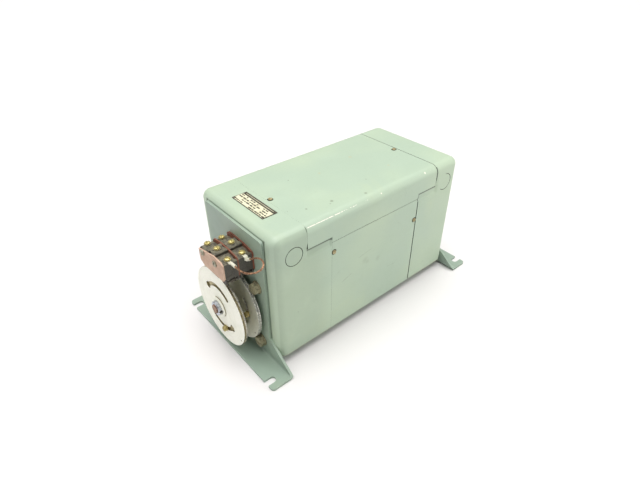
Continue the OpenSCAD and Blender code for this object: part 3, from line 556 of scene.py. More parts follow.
def into_object(bm, name, materials, body="frame", smooth_deg=40, replaces=(), slot=None, closed=True):
    """Finishes a mesh that was made in millimetres as a piece that rides on a body."""
    bmesh.ops.scale(bm, vec=(MM, MM, MM), verts=bm.verts)
    if closed:
        bmesh.ops.recalc_face_normals(bm, faces=bm.faces)
    mesh = bpy.data.meshes.new(name)
    bm.to_mesh(mesh)
    bm.free()
    piece = bpy.data.objects.new(name, mesh)
    bpy.context.scene.collection.objects.link(piece)
    for m in materials if isinstance(materials, (list, tuple)) else [materials]:
        mesh.materials.append(m)
    sharpen(piece, smooth_deg)
    if body:
        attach(piece, body)
    if replaces:
        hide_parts(*replaces)
    return piece


def soften(piece, width_mm, angle_deg=35, segments=2, edge_tone=None):
    """Rounds a piece's sharp edges, and gives the rounded strips a material of their own if there is one."""
    bevel = piece.modifiers.new("rounded_edges", "BEVEL")
    bevel.width = width_mm * MM
    bevel.segments = segments
    bevel.limit_method = "ANGLE"
    bevel.angle_limit = math.radians(angle_deg)
    bevel.use_clamp_overlap = True
    if edge_tone:
        piece.data.materials.append(edge_tone)
        bevel.material = len(piece.data.materials) - 1
    shading = piece.modifiers.new("even_shading", "WEIGHTED_NORMAL")
    shading.keep_sharp = False


def apply_modifiers(piece):
    """Makes the modifiers' result the piece's own mesh."""
    bpy.context.view_layer.update()
    evaluated = piece.evaluated_get(bpy.context.evaluated_depsgraph_get())
    made = bpy.data.meshes.new_from_object(evaluated)
    piece.modifiers.clear()
    piece.data = made


def sharpen(piece, angle_deg):
    """Smooth shading up to an angle."""
    piece.data.shade_smooth()
    piece.data.set_sharp_from_angle(angle=math.radians(angle_deg))


def carve(piece, *cutters, operation="DIFFERENCE", overlap=False):
    """Cuts cutters out of a piece, and removes them. A cut face takes its cutter's material."""
    for cutter in cutters:
        cut = piece.modifiers.new("cut", "BOOLEAN")
        cut.object, cut.operation, cut.solver = cutter, operation, "EXACT"
        cut.use_self = overlap
        cut.material_mode = "TRANSFER"
    apply_modifiers(piece)
    for cutter in cutters:
        bpy.data.objects.remove(cutter)


def add_box(bm, low, high):
    verts = [bm.verts.new(corner) for corner in itertools.product(*zip(low, high))]
    for corners in ((0, 1, 3, 2), (4, 6, 7, 5), (0, 4, 5, 1), (2, 3, 7, 6), (0, 2, 6, 4), (1, 5, 7, 3)):
        bm.faces.new([verts[i] for i in corners])
    return verts


def add_lathe(bm, outline, segments=48):
    """Turns an outline of (radius, height) points round the Z axis. A radius of 0 closes an end."""
    rows = []
    angles = [2 * math.pi * k / segments for k in range(segments)]
    for r, h in outline:
        if r == 0:
            rows.append([bm.verts.new((0, 0, h))])
            continue
        rows.append([bm.verts.new((r * math.cos(a), r * math.sin(a), h)) for a in angles])
    for lower, upper in zip(rows, rows[1:]):
        for k in range(segments):
            quad = [lower[k % len(lower)], lower[(k + 1) % len(lower)], upper[(k + 1) % len(upper)],
                    upper[k % len(upper)]]
            corners = list(dict.fromkeys(quad))
            if len(corners) > 2:
                bm.faces.new(corners)
    return [v for row in rows for v in row]


def moved(bm, verts, matrix):
    bmesh.ops.transform(bm, matrix=matrix, verts=list(dict.fromkeys(verts)))


def facing(direction):
    """Turns +Z to a direction."""
    return Vector(direction).to_track_quat("Z", "Y").to_matrix().to_4x4()


def arc(centre, radius, start_deg, end_deg, steps):
    """Points on an arc, as (radius, height) pairs of an outline."""
    angles = [math.radians(start_deg + (end_deg - start_deg) * k / steps) for k in range(steps + 1)]
    return [(centre[0] + radius * math.cos(a), centre[1] + radius * math.sin(a)) for a in angles]


TO_REAR = Matrix.Rotation(math.radians(-90), 4, "X")
TO_FRONT = Matrix.Rotation(math.radians(90), 4, "X")


def add_rings(bm, rings):
    """Joins equal rings of points with quads, and closes both ends."""
    rows = [[bm.verts.new(p) for p in ring] for ring in rings]
    n = len(rows[0])
    for lower, upper in zip(rows, rows[1:]):
        for k in range(n):
            bm.faces.new([lower[k], lower[(k + 1) % n], upper[(k + 1) % n], upper[k]])
    bm.faces.new(rows[0][::-1])
    bm.faces.new(rows[-1])
    return [v for row in rows for v in row]


def hexagon(flats, h, inside, n=48):
    """One ring of a hexagon that is cut down to a circle of a given radius where it is larger."""
    points = []
    for k in range(n):
        a = 2 * math.pi * k / n
        r = min(flats / 2 / math.cos((a + math.pi / 6) % (math.pi / 3) - math.pi / 6), inside)
        points.append((r * math.cos(a), r * math.sin(a), h))
    return points


def add_hexagon(bm, flats, height, both_ends=False):
    """A hexagon bolt head from 0 up to a height, with the forged chamfer of its corners."""
    corner = flats / 2 / math.cos(math.pi / 6)
    steps = [(corner, 0.0), (corner - 0.28, 0.30), (corner - 0.62, 0.52),
             (flats / 2 - 0.15, 0.70), (flats / 2 - 0.9, 0.86)]
    chamfer = steps[-1][1]
    top = [(r, height - chamfer + d) for r, d in steps]
    bottom = [(r, chamfer - d) for r, d in reversed(steps)] if both_ends else [(corner, 0.0)]
    return add_rings(bm, [hexagon(flats, h, r) for r, h in bottom + top])


def add_thread(bm, radius, start, end, pitch=1.41):
    """A threaded rod's end, with a chamfered tip."""
    outline = [(0, start), (radius, start)]
    h = start
    while h + pitch < end - 0.8:
        outline += [(radius, h + 0.15 * pitch), (radius - 0.5, h + 0.5 * pitch), (radius, h + 0.85 * pitch)]
        h += pitch
    outline += [(radius, end - 0.8), (radius - 0.8, end), (0, end)]
    return add_lathe(bm, outline, 40)


def dome(radius, low, high, steps=6, flat=0.0):
    """The outline of a rounded head, from its rim to its middle."""
    points = arc((flat, low), 1, 0, 90, steps)
    return [(flat + (r - flat) * (radius - flat), low + (h - low) * (high - low)) for r, h in points] + (
        [(0, high)] if flat else [])


def add_screw(bm, head_r, head_h, shank_r, shank_l, rim):
    """A slotted screw's head and shank, before its slot is cut. It stands on 0 and points up."""
    outline = [(0, -shank_l), (shank_r - 0.3, -shank_l), (shank_r, 0.3 - shank_l), (shank_r, 0),
               (head_r - 0.2, 0), (head_r, 0.2), *dome(head_r, rim * head_h, head_h, flat=0.2 * head_r)]
    return add_lathe(bm, outline, 40)


def add_slot(bm, head_r, head_h, deep, wide):
    return add_box(bm, (-head_r - 1, -wide / 2, head_h - deep), (head_r + 1, wide / 2, head_h + 2))


def middle(low, high):
    return (low + high) / 2


def turned(deg):
    return Matrix.Rotation(math.radians(deg), 4, "Z")


def add_washer(bm, inner, outer, low, high, edge=0.25):
    """A washer with its outer edges broken."""
    outline = [(inner, low), (outer - edge, low), (outer, low + edge), (outer, high - edge),
               (outer - edge, high), (inner, high), (inner, low)]
    verts = add_lathe(bm, outline)
    bmesh.ops.remove_doubles(bm, verts=verts, dist=1e-5)
    return [v for v in verts if v.is_valid]


def frames_along(points):
    """For each point of a line, the point and two directions across the line, which don't twist."""
    frames, side = [], None
    for i, p in enumerate(points):
        ahead = (points[min(i + 1, len(points) - 1)] - points[max(i - 1, 0)]).normalized()
        side = ahead.orthogonal() if side is None else side - ahead * side.dot(ahead)
        side.normalize()
        frames.append((p, side.copy(), ahead.cross(side)))
    return frames


def around(p, side, up, radius, angle):
    """A point on a circle round p, in the plane of two directions."""
    return p + radius * (math.cos(angle) * side + math.sin(angle) * up)


def tube(bm, points, radius, sides):
    """A round tube along a list of points, closed at both ends."""
    turns = [2 * math.pi * k / sides for k in range(sides)]
    return add_rings(bm, [[around(*place, radius, a) for a in turns] for place in frames_along(points)])


def outline_block(bm, outline, y0, y1):
    """A side outline of (x, z) points between two Y planes."""
    return add_rings(bm, [[(x, y, z) for x, z in outline] for y in (y0, y1)])


# ---- the case: five shells cut from one rounded skin ----

JOGGLE_DEEP = 1.7
JOGGLE_DROP = 12.2
JOGGLE_RISE = 3.6
SKIN_GRID = 9
WAVE_HIGH = 0.16
WAVE_LONG = 55
FACING_UP = 0.75  # a normal's Z above which a face counts as the top's


def grid_line(flat_low, flat_high, cuts, round_low=True, arc_steps=5):
    """Positions along one axis as (place, slope): 0 on the flat, and up to 1 where the corner takes over."""
    cuts = sorted({c for c in cuts if flat_low < c < flat_high} | {flat_low, flat_high})
    flat = []
    for a, b in zip(cuts, cuts[1:]):
        n = max(1, round((b - a) / SKIN_GRID))
        flat += [(a + (b - a) * k / n, 0.0) for k in range(n)]
    flat.append((flat_high, 0.0))
    slopes = [math.tan(math.radians(45 * k / arc_steps)) for k in range(1, arc_steps + 1)]
    low = [(flat_low, -s) for s in reversed(slopes)] if round_low else []
    return low + flat + [(flat_high, s) for s in slopes]


def joggle_depth(p):
    """How far the end caps' sheet is pressed in below the lid's stepped edge, at a point of the side."""
    if abs(p.x) < case.half_x - 1.0:
        return 0.0

    def ramp(v, start, width):
        t = min(1.0, max(0.0, (v - start) / width))
        return t * t * (3 - 2 * t)

    lower = ramp(p.z, case.step_z - JOGGLE_DROP, JOGGLE_RISE)
    upper = 1 - ramp(p.z, case.step_z + 3, 1.0)
    if p.y < 0:
        along = ramp(p.y, case.cap_lid_y[0] - 2.0, 2.0) * (1 - ramp(p.y, case.cap_side_y[0] - 3.0, 3.0))
    else:
        along = ramp(-p.y, -case.cap_lid_y[1] - 6.0, 6.0)
    return JOGGLE_DEEP * lower * upper * along


def skin(inset, joggled):
    """The whole case as one rounded skin with an open bottom, as a bmesh in millimetres."""
    r = CASE_R - inset
    fx, fy, fz = case.half_x - CASE_R, case.end - CASE_R, case.high - CASE_R
    seam_y = [*case.lid_y, *case.cap_lid_y, *case.panel_y, *case.cap_side_y]
    joggle_y = [case.cap_lid_y[0] - d for d in (0.5, 1, 1.5, 2)]
    joggle_y += [case.cap_side_y[0] - d for d in (1, 2, 3)]
    joggle_y += [case.cap_lid_y[1] + d for d in (1.5, 3, 4.5, 6)]
    seam_z = [case.skirt_z, case.panel_top, case.step_z, case.step_z + SEAM / 2]
    joggle_z = [case.step_z - JOGGLE_DROP + JOGGLE_RISE * k / 4 for k in range(5)]
    xs = grid_line(-fx, fx, [])
    ys = grid_line(-fy, fy, seam_y + joggle_y)
    zs = grid_line(case.low, fz, seam_z + joggle_z, round_low=False)
    bm = bmesh.new()

    def sheet_of(us, vs, point):
        rows = [[bm.verts.new(point(u, v)) for v in vs] for u in us]
        for a, b in zip(rows, rows[1:]):
            for k in range(len(vs) - 1):
                bm.faces.new([a[k], b[k], b[k + 1], a[k + 1]])

    def on(base, offset):
        return Vector(base) + Vector(offset).normalized() * r

    for side in (-1, 1):
        sheet_of(ys, zs, lambda u, v: on((side * fx, u[0], v[0]), (side, u[1], v[1])))
        sheet_of(xs, zs, lambda u, v: on((u[0], side * fy, v[0]), (u[1], side, v[1])))
    sheet_of(xs, ys, lambda u, v: on((u[0], v[0], fz), (u[1], v[1], 1)))
    bmesh.ops.remove_doubles(bm, verts=bm.verts, dist=0.001)
    heart = Vector((0, 0, case.low))
    for f in bm.faces:
        f.normal_update()
        if f.normal.dot(f.calc_center_median() - heart) < 0:
            f.normal_flip()
    bm.normal_update()
    for v in bm.verts:
        wave = noise.noise(v.co / WAVE_LONG) * WAVE_HIGH
        inward = -wave if abs(v.co.y) < case.end - 3 else 0.0
        if joggled:
            inward += joggle_depth(v.co)
        v.co -= v.normal * inward
    return bm


def keep_shell(bm, shell, side=None):
    """Leaves only the faces of one shell, or those of it on one side of the case."""
    drop = []
    for f in bm.faces:
        c = f.calc_center_median()
        if case.shell_of(c.y, c.z, f.normal.z > FACING_UP) != shell or (side and c.x * side < 0):
            drop.append(f)
    bmesh.ops.delete(bm, geom=drop, context="FACES")


def thicken(piece):
    """Gives a skin the thickness of its sheet. The sheet's cut edges take the second material."""
    solid = piece.modifiers.new("sheet", "SOLIDIFY")
    solid.material_offset_rim = 1
    solid.thickness, solid.offset, solid.use_even_offset = SHEET * MM, -1, True
    apply_modifiers(piece)


def cylinder_cutter(radius, length, centre, direction, inner=0.0, tilt=0.0, sink=0.0, segments=64,
                    material=()):
    """A rod, or a ring if it has an inner radius, to cut with."""
    bm = bmesh.new()
    half = length / 2
    if inner:
        outline = [(inner, -half), (radius, -half), (radius, half), (inner, half), (inner, -half)]
    else:
        outline = [(0, -half), (radius, -half), (radius, half), (0, half)]
    add_lathe(bm, outline, segments)
    bmesh.ops.remove_doubles(bm, verts=bm.verts, dist=1e-5)
    along = Vector(direction)
    lean = Matrix.Rotation(math.radians(tilt), 4, along.cross(Vector((0, 1, -0.35))))
    moved(bm, bm.verts, Matrix.Translation(Vector(centre) - along * sink) @ lean @ facing(direction))
    return into_object(bm, "cutter", material, body=None)


KNOCKOUT_R = 11.1
KNOCKOUT_Y = 124.6
KNOCKOUT_UP = 137.2
KNOCKOUT_TILT = {"front": (2.4, -0.40), "rear": (4.6, -0.80)}
TIE_HOLE_R = 4.15
BUSH_HOLE_R = 8
NOTCH_R = 1.5
DIMPLE_R = 3.5


def corner_gap():
    """A wedge off the lid's front edge at its right corner, where the lid does not quite meet the cap."""
    bm = bmesh.new()
    corner = Vector((case.half_x - 3.5, case.lid_y[0], case.high - 4.5))
    wedge = [(-8, -0.4), (0, 0.75), (9, -0.4), (0, -2)]
    add_rings(bm, [[(x, y, h) for x, y in wedge] for h in (-5, 5)])
    moved(bm, bm.verts, Matrix.Translation(corner) @ Matrix.Rotation(math.radians(48), 4, "Y"))
    return into_object(bm, "cutter", [], body=None)


def end_cap_cutters(shell, darkening):
    """Rings round the knockouts, and holes for the tie bolts and the shaft's bush."""
    sign = -1 if shell == "front" else 1
    cutters = []
    for s in (-1, 1):
        centre = (s * case.half_x, sign * KNOCKOUT_Y, case.low + KNOCKOUT_UP)
        cutters.append(cylinder_cutter(KNOCKOUT_R + 0.4, 2.2, centre, (s, 0, 0), KNOCKOUT_R - 0.4,
                                       *KNOCKOUT_TILT[shell], material=darkening))
    for low, high in solids("tie_bolts"):
        c = middle(low, high)
        cutters.append(cylinder_cutter(TIE_HOLE_R, 8, (c.x, sign * case.end, c.z), (0, 1, 0)))
    cutters.append(cylinder_cutter(BUSH_HOLE_R, 8, (0, sign * case.end, SHAFT_Z), (0, 1, 0)))
    return cutters


def notch_cutters(darkening):
    y, z = case.panel_y[1] + 0.5, case.skirt_z - 0.2
    return [cylinder_cutter(NOTCH_R, 9, (s * case.half_x, y, z), (1, 0, 0), segments=32, material=darkening)
            for s in (-1, 1)]


def dimple_cutters(shell, side, darkening):
    """A dimple under each cover screw of one shell, or of one side of it, its walls in the seams' painted
    shade.
    """
    places = []
    for low, high in solids("cover_screws"):
        c = middle(low, high)
        outward = 1 if c.x > 0 else -1
        if high.z > case.high:
            if shell == "lid":
                places.append(((c.x, c.y, case.high), (0, 0, 1)))
        elif shell != "lid" and side in (None, outward):
            places.append(((outward * case.half_x, c.y, c.z), (outward, 0, 0)))
    return [cylinder_cutter(DIMPLE_R, 1.8, *place, segments=32, material=darkening) for place in places]


def make_shells(paint, lid_finish, panel_finish, edge_tone, darkening):
    for name, shell, side, finish, node in (
            ("lid_shell", "lid", None, lid_finish, "top_cover"),
            ("front_cap_shell", "front", None, paint, "front_end_cap"),
            ("rear_cap_shell", "rear", None, paint, "rear_end_cap"),
            ("right_panel_shell", "panel", 1, panel_finish, "side_panel_right"),
            ("left_panel_shell", "panel", -1, panel_finish, "side_panel_left")):
        is_cap = shell in ("front", "rear")
        bm = skin(0, is_cap)
        keep_shell(bm, shell, side)
        # The second material, on the sheets' cut edges and the cut faces, is the seams' painted shade.
        piece = into_object(bm, name, [finish, darkening], replaces=[node], slot="sage_paint", smooth_deg=60,
                            closed=False)
        thicken(piece)
        cutters = end_cap_cutters(shell, darkening) if is_cap else []
        if shell == "lid":
            cutters.append(corner_gap())
        if shell != "front":
            cutters += notch_cutters(darkening)
        cutters += dimple_cutters(shell, side, darkening)
        carve(piece, *cutters)
        sharpen(piece, 50)
        # The rounded edges take a painted highlight.
        soften(piece, 0.3, 50, 2, edge_tone)


def make_lips(darkening):
    """The end caps' pressed-in lips, which the covers are screwed to, all in the seams' painted shade."""
    reach, tuck, bottom_gap = 9, 4, 8
    for name, sign, lid_y, side_y in (("front_cap_lip", -1, case.cap_lid_y[0], case.cap_side_y[0]),
                                      ("rear_cap_lip", 1, case.cap_lid_y[1], case.cap_side_y[1])):
        bm = skin(SHEET + (0.1 if sign < 0 else 0.5), False)
        drop = []
        for f in bm.faces:
            c = f.calc_center_median()
            top = f.normal.z > FACING_UP or c.z > case.step_z
            away = (c.y - (lid_y if top else side_y)) * sign
            if not -reach < away < tuck or c.z < case.low + bottom_gap:
                drop.append(f)
        bmesh.ops.delete(bm, geom=drop, context="FACES")
        piece = into_object(bm, name, [darkening, darkening], slot="sage_paint", smooth_deg=60, closed=False)
        thicken(piece)


# ---- nameplate ----

def make_nameplate(field, ink, pin):
    """A blank data plate: dark border and header, pale ruled rows with bars in place of words."""
    low, high = box("nameplate")
    built = Build()
    built.add(add_box, low, high, material=1)
    top = high.z
    border, header = 0.9, 5.0

    def pad(x0, y0, x1, y1, lift, material):
        built.add(add_box, (x0, y0, top - 0.1), (x1, y1, top + lift), material=material)

    left, right = low.x + border, high.x - border
    pad(left, low.y + border, right, high.y - header, 0.05, 0)
    pad(left + 2.5, high.y - 2.7, right - 2.5, high.y - 2.1, 0.05, 0)
    rows = 4
    depth = (high.y - header - low.y - border) / rows
    for row in range(rows):
        y = low.y + border + depth * (row + 0.22)
        x = left + 0.9
        while x < right - 3:
            length = rng.uniform(1.6, 6.5)
            end = min(x + length, right - 0.9)
            if rng.random() < 0.84:
                pad(x, y, end, y + depth * rng.uniform(0.44, 0.60), 0.09, 1)
            x = end + rng.uniform(0.8, 2.0)
    built.done("data_plate", [field, ink], replaces=["nameplate"], slot="plate_metal", smooth_deg=20)
    pins = Build()
    for low, high in solids("nameplate_pins"):
        c = middle(low, high)
        outline = [(0, low.z), (0.9, low.z), (0.9, top), (1.35, top), *dome(1.4, top + 0.15, high.z, 4)]
        pins.add(add_lathe, outline, 24, at=Matrix.Translation((c.x, c.y, 0)))
    pins.done("data_plate_pins", pin, replaces=["nameplate_pins"], slot="brass")


# ---- screws, bolts, nuts and washers ----

SLOT_WIDE = 1.2


class Screws:
    """Slotted screws of one kind, with the boxes that cut their slots."""

    def __init__(self, head_r, head_h, slot_deep):
        self.head_r, self.head_h, self.slot_deep = head_r, head_h, slot_deep
        self.screws, self.slots = Build(), Build()

    def add(self, at, shank_r, shank_l, rim=0.4):
        self.screws.add(add_screw, self.head_r, self.head_h, shank_r, shank_l, rim, at=at)
        self.slots.add(add_slot, self.head_r, self.head_h, self.slot_deep, SLOT_WIDE, at=at)

    def done(self, name, materials, **settings):
        piece = self.screws.done(name, materials, **settings)
        carve(piece, self.slots.done("cutter", [], body=None))
        soften(piece, 0.12)


def make_cover_screws(material):
    made = Screws(head_r=2.5, head_h=1.6, slot_deep=1.2)
    for low, high in solids("cover_screws"):
        c = middle(low, high)
        if high.z > case.high:
            at = Matrix.Translation((c.x, c.y, high.z - made.head_h)) @ turned(rng.uniform(0, 180))
        else:
            sign = 1 if c.x > 0 else -1
            under = (high.x if sign > 0 else low.x) - sign * made.head_h
            at = Matrix.Translation((under, c.y, c.z)) @ facing((sign, 0, 0)) @ turned(rng.uniform(60, 110))
        made.add(at, shank_r=1.75, shank_l=5, rim=0.5)
    made.done("cover_screw_set", material, replaces=["cover_screws"], slot="brass")


def make_terminal_screws(brass, cup):
    """Binding screws, each in a cup washer."""
    made = Screws(head_r=3.2, head_h=2.0, slot_deep=1.5)
    cup_line = [(1.5, -0.8), (3.3, -0.8), (3.9, -0.25), (3.95, 0), (3.6, 0), (3.1, -0.3), (1.5, -0.3),
                (1.5, -0.8)]
    for low, high in solids("terminal_screws"):
        c = middle(low, high)
        at = Matrix.Translation((c.x, c.y, high.z - made.head_h)) @ turned(rng.uniform(-40, 60))
        made.add(at, shank_r=1.5, shank_l=4, rim=0.55)
        made.screws.add(add_lathe, cup_line, 40, at=at, material=1)
    bmesh.ops.remove_doubles(made.screws.bm, verts=made.screws.bm.verts, dist=1e-5)
    made.done("terminal_screw_set", [brass, cup], replaces=["terminal_screws"], slot="brass")


def make_switch_screws(material):
    made = Screws(head_r=3.5, head_h=2.2, slot_deep=1.3)
    for low, high in solids("switch_screws"):
        c = middle(low, high)
        at = Matrix.Translation((c.x, low.y + made.head_h, c.z)) @ TO_FRONT @ turned(rng.uniform(20, 70))
        made.add(at, 1.75, high.y - low.y - made.head_h)
    made.done("switch_screw_set", material, replaces=["switch_screws"], slot="plated_steel")


def make_cam_screws(brass):
    """The screws that clamp each pair of discs together."""
    made = Screws(head_r=3.4, head_h=4.8, slot_deep=1.5)
    for low, high in solids("cam_screws"):
        c = middle(low, high)
        at = Matrix.Translation((c.x, low.y + made.head_h, c.z)) @ TO_FRONT @ turned(rng.uniform(0, 90))
        made.add(at, 1.9, high.y - low.y - made.head_h, 0.8)
        made.screws.add(add_washer, made.head_r - 0.2, 4.2, 0, 0.8, at=at)
    made.done("cam_clamp_screws", brass, body="rotor", replaces=["cam_screws"], slot="brass")


def make_tie_hardware(material):
    flats, head_h, nut_h, washer_h, rod = 12.7, 5.6, 6.8, 1.6, 3.95
    bolts, washers, nuts = Build(), Build(), Build()
    for low, high in solids("tie_bolts"):
        c = middle(low, high)
        spin = 15 if c.x * (c.z - SHAFT_Z) > 0 else -15
        under = Matrix.Translation((c.x, low.y + head_h, c.z))
        bolts.add(add_hexagon, flats, head_h, at=under @ TO_FRONT @ turned(spin))
        bolts.add(add_thread, rod, 0, high.y - low.y - head_h, at=under @ TO_REAR)
    for low, high in solids("tie_washers"):
        c = middle(low, high)
        washers.add(add_washer, rod, 8, 0, washer_h, at=Matrix.Translation((c.x, low.y, c.z)) @ TO_REAR)
    for low, high in solids("tie_nuts"):
        c = middle(low, high)
        at = Matrix.Translation((c.x, low.y, c.z)) @ TO_REAR @ turned(20)
        nuts.add(add_hexagon, flats, nut_h, True, at=at)
    for built, kind in ((bolts, "tie_bolt"), (washers, "tie_washer"), (nuts, "tie_nut")):
        built.done(f"{kind}_set", material, replaces=[f"{kind}s"], slot="plated_steel")


# ---- cam hubs ----

def make_hub(node, name, collar, flange):
    """A turned hub: a bright collar with a set screw hole, on a domed flange."""
    low, high = box(node)
    long, base = high.y - low.y, 6.3
    bore, neck, rim = 5.55, 7, 11
    collar_line = [(bore, 0.5), (bore + 0.5, 0), (8.3, 0), (9, 0.7), (9, 3.9)]
    flange_line = [(9, 3.9), *[(9.9 - r, 4.8 - h) for r, h in arc((0, 0), 0.9, 0, 90, 4)]]
    for t in range(1, 9):
        a = t * math.pi / 16
        flange_line.append((9.9 + 3.1 * math.sin(a), base - 1.9 + 1.5 * (1 - math.cos(a))))
    flange_line.append((13, base))
    back_line = [(13, base), (neck, base), (neck, long - 4.2), (rim, long - 4.2), (rim, long - 2.9),
                 (neck, long - 2.9), (neck, long - 1.2), (rim, long - 1.2), (rim, long), (bore, long),
                 (bore, 0.5)]
    built = Build()
    for line, material in ((collar_line, 0), (flange_line, 1), (back_line, 1)):
        built.add(add_lathe, line, 64, material=material)
    bmesh.ops.remove_doubles(built.bm, verts=built.bm.verts, dist=1e-4)
    moved(built.bm, built.bm.verts, Matrix.Translation((0, low.y, SHAFT_Z)) @ TO_REAR)
    slot = "cam_white" if "front" in node else "cam_grey"
    piece = built.done(name, [collar, flange], body="rotor", replaces=[node], slot=slot)
    carve(piece, cylinder_cutter(2.15, 8, (8, low.y + 2.3, SHAFT_Z), (1, 0, 0), segments=24))
    soften(piece, 0.15)


# ---- limit switches ----

def make_switch(node, name, material):
    """A moulded switch case with three stepped terminal posts, a parting line and hinge legs."""
    low, high = box(node)
    end, thick = high.x - low.x, high.y - low.y
    leg = -5.4
    at = Matrix.Translation((low.x, low.y, low.z - leg))
    left, centre, right = 18.9, 23.9, 20.4
    outline = [(0, 0.6), (0.6, 0), (end - 0.6, 0), (end, 0.6), (end, right - 0.5), (end - 0.5, right),
               (32.3, right), (32, right + 0.3), (32, centre - 0.5), (31.5, centre),
               (17.1, centre), (16.5, centre - 0.4), (14.8, left + 0.3), (14.3, left), (1.6, left),
               (0, left - 1.6)]
    leg_line = [(end - 4.2, 1), (end - 4.2, leg + 1.5), (end - 2.9, leg), (end - 1.3, leg), (end, leg + 1.5),
                (end, 1)]
    built = Build()
    built.add(outline_block, outline, 0, thick, at=at)
    piece = built.done(name, material, replaces=[node], slot="switch_black")
    legs = Build()
    for near in (0, thick - 1.8):
        legs.add(outline_block, leg_line, near, near + 1.8, at=at)
    carve(piece, legs.done("joined", [], body=None), operation="UNION")
    cuts = Build()
    parting = 10.6
    groove = 0.28
    for x0, x1, z0, z1 in ((-1, 14, left - groove, 20), (17.4, 31.2, centre - groove, 25),
                           (32.6, end + 1, right - groove, 22), (end - groove, end + 1, 1, 21),
                           (-1, groove, 1, 17), (-1, end + 1, -1, groove)):
        cuts.add(add_box, (x0, parting, z0), (x1, parting + 0.35, z1), at=at)
    for post, top in ((2.6, left), (23.6, centre), (43.5, right)):
        for near in (-1, thick - 0.9):
            cuts.add(add_box, (post - 2.2, near, top - 3.4), (post + 2.2, near + 1.9, top + 1), at=at)
    cuts.add(add_box, (end - 0.35, 2, 4.5), (end + 1, parting - 1.6, 15.5), at=at)
    for r, long, place in ((1.8, 7, Matrix.Translation((30.1, thick / 2, 0))),
                           (1.05, thick + 1, Matrix.Translation((end - 2.1, 0, -3.2)) @ TO_REAR)):
        cuts.add(add_lathe, [(0, -1), (r, -1), (r, long), (0, long)], 24, at=at @ place)
    carve(piece, cuts.done("cutter", material, body=None), overlap=True)
    sharpen(piece, 30)
    soften(piece, 0.25, 30)


# ---- jumper: its route is the CAD's, in metres ----

ROUTE = [(0.045, -0.1796, 0.1505), (0.0485, -0.1795, 0.1505), (0.0525, -0.1794, 0.1502),
         (0.0565, -0.179, 0.1499), (0.0603, -0.1778, 0.1496), (0.064, -0.1754, 0.1494),
         (0.067, -0.1722, 0.1495), (0.069, -0.168, 0.150), (0.0698, -0.1638, 0.1512),
         (0.0688, -0.160, 0.153), (0.066, -0.1575, 0.1543), (0.0623, -0.1563, 0.1547),
         (0.0583, -0.156, 0.1543), (0.0543, -0.1566, 0.1532), (0.0507, -0.1578, 0.1516),
         (0.0476, -0.1591, 0.1498), (0.045, -0.1602, 0.1484), (0.043, -0.1611, 0.1473)]


def smooth_route(steps=6):
    """The route as an even curve in millimetres."""
    p = [Vector(q) / MM for q in ROUTE]
    points = []
    for i in range(len(p) - 1):
        a, b, c, d = p[max(i - 1, 0)], p[i], p[i + 1], p[min(i + 2, len(p) - 1)]
        for k in range(steps):
            t = k / steps
            points.append(0.5 * (2 * b + (c - a) * t + (2 * a - 5 * b + 4 * c - d) * t * t
                                 + (3 * b - a - 3 * c + d) * t ** 3))
    return points + [p[-1]]


def make_jumper(material):
    """Strands twisted round each other, a little uneven, with a few broken ones near the lugs."""
    line = smooth_route()
    frames = frames_along(line)
    strands, lay, pitch = 8, 0.70, 13.0
    built = Build()
    built.add(tube, line, 0.55, 8)
    for n in range(strands):
        points, far = [], 0.0
        for i, place in enumerate(frames):
            far += (line[i] - line[i - 1]).length if i else 0.0
            angle = 2 * math.pi * (n / strands + far / pitch)
            r = lay + 0.10 * noise.noise(Vector((far / 5, n * 3.1, 0)))
            points.append(around(*place, r, angle))
        built.add(tube, points, 0.27, 7)
    broken = ((6, (0.4, -1.0, 0.5)), (9, (0.9, -0.5, 0.9)), (14, (0.2, -0.8, -0.9)), (88, (0.3, 0.4, 1.0)))
    for start, lean in broken:
        p, q = line[start], line[start + 5]
        out = Vector(lean).normalized()
        bent = [p + (q - p) * share + out * rise for share, rise in ((0.4, 1.2), (0.8, 1.7), (1.3, 1.9))]
        built.add(tube, [p, *bent], 0.10, 5)
    built.done("jumper_strands", material, replaces=["jumper_wire"], slot="jumper_copper")


# ---- floor and backdrop, which are not part of the object ----

STAGE_REACH = 6000
FLOOR_DROP = 0.2


def floor_material():
    """Pale, and clear from below, so that the underside can be seen."""
    s = Shader("studio_floor", roughness=0.8)
    s.set(colour=s.mix(s.noise(400, 2), (0.73, 0.73, 0.73, 1), (0.76, 0.76, 0.76, 1)))
    see_through = s.tree.nodes.new("ShaderNodeMixShader")
    sources = (s.add("ShaderNodeNewGeometry", out="Backfacing"), s.surface.outputs[0],
               s.add("ShaderNodeBsdfTransparent"))
    for i, source in enumerate(sources):
        s.tree.links.new(source, see_through.inputs[i])
    s.tree.links.new(see_through.outputs[0], s.tree.nodes["Material Output"].inputs["Surface"])
    return s.material


def backdrop_material():
    s = Shader("studio_backdrop", roughness=1.0)
    s.surface.inputs["Base Color"].default_value = (0, 0, 0, 1)
    s.surface.inputs["Emission Color"].default_value = (0.95, 0.95, 0.95, 1)
    s.surface.inputs["Emission Strength"].default_value = 1.0
    return s.material


def make_stage():
    """A floor just under the feet, and a pale dome round it that only the camera sees."""
    bm = bmesh.new()
    bmesh.ops.create_grid(bm, x_segments=2, y_segments=2, size=STAGE_REACH)
    bmesh.ops.translate(bm, verts=bm.verts, vec=(0, 0, -FLOOR_DROP))
    floor = into_object(bm, "studio_floor", floor_material(), body=None, closed=False)
    bm = bmesh.new()
    bmesh.ops.create_uvsphere(bm, u_segments=48, v_segments=24, radius=STAGE_REACH)
    dome = into_object(bm, "studio_backdrop", backdrop_material(), body=None)
    dome.visible_diffuse = dome.visible_glossy = dome.visible_shadow = False
    dome.visible_transmission = dome.visible_volume_scatter = False


# ---- CAD nodes whose shape is right ----

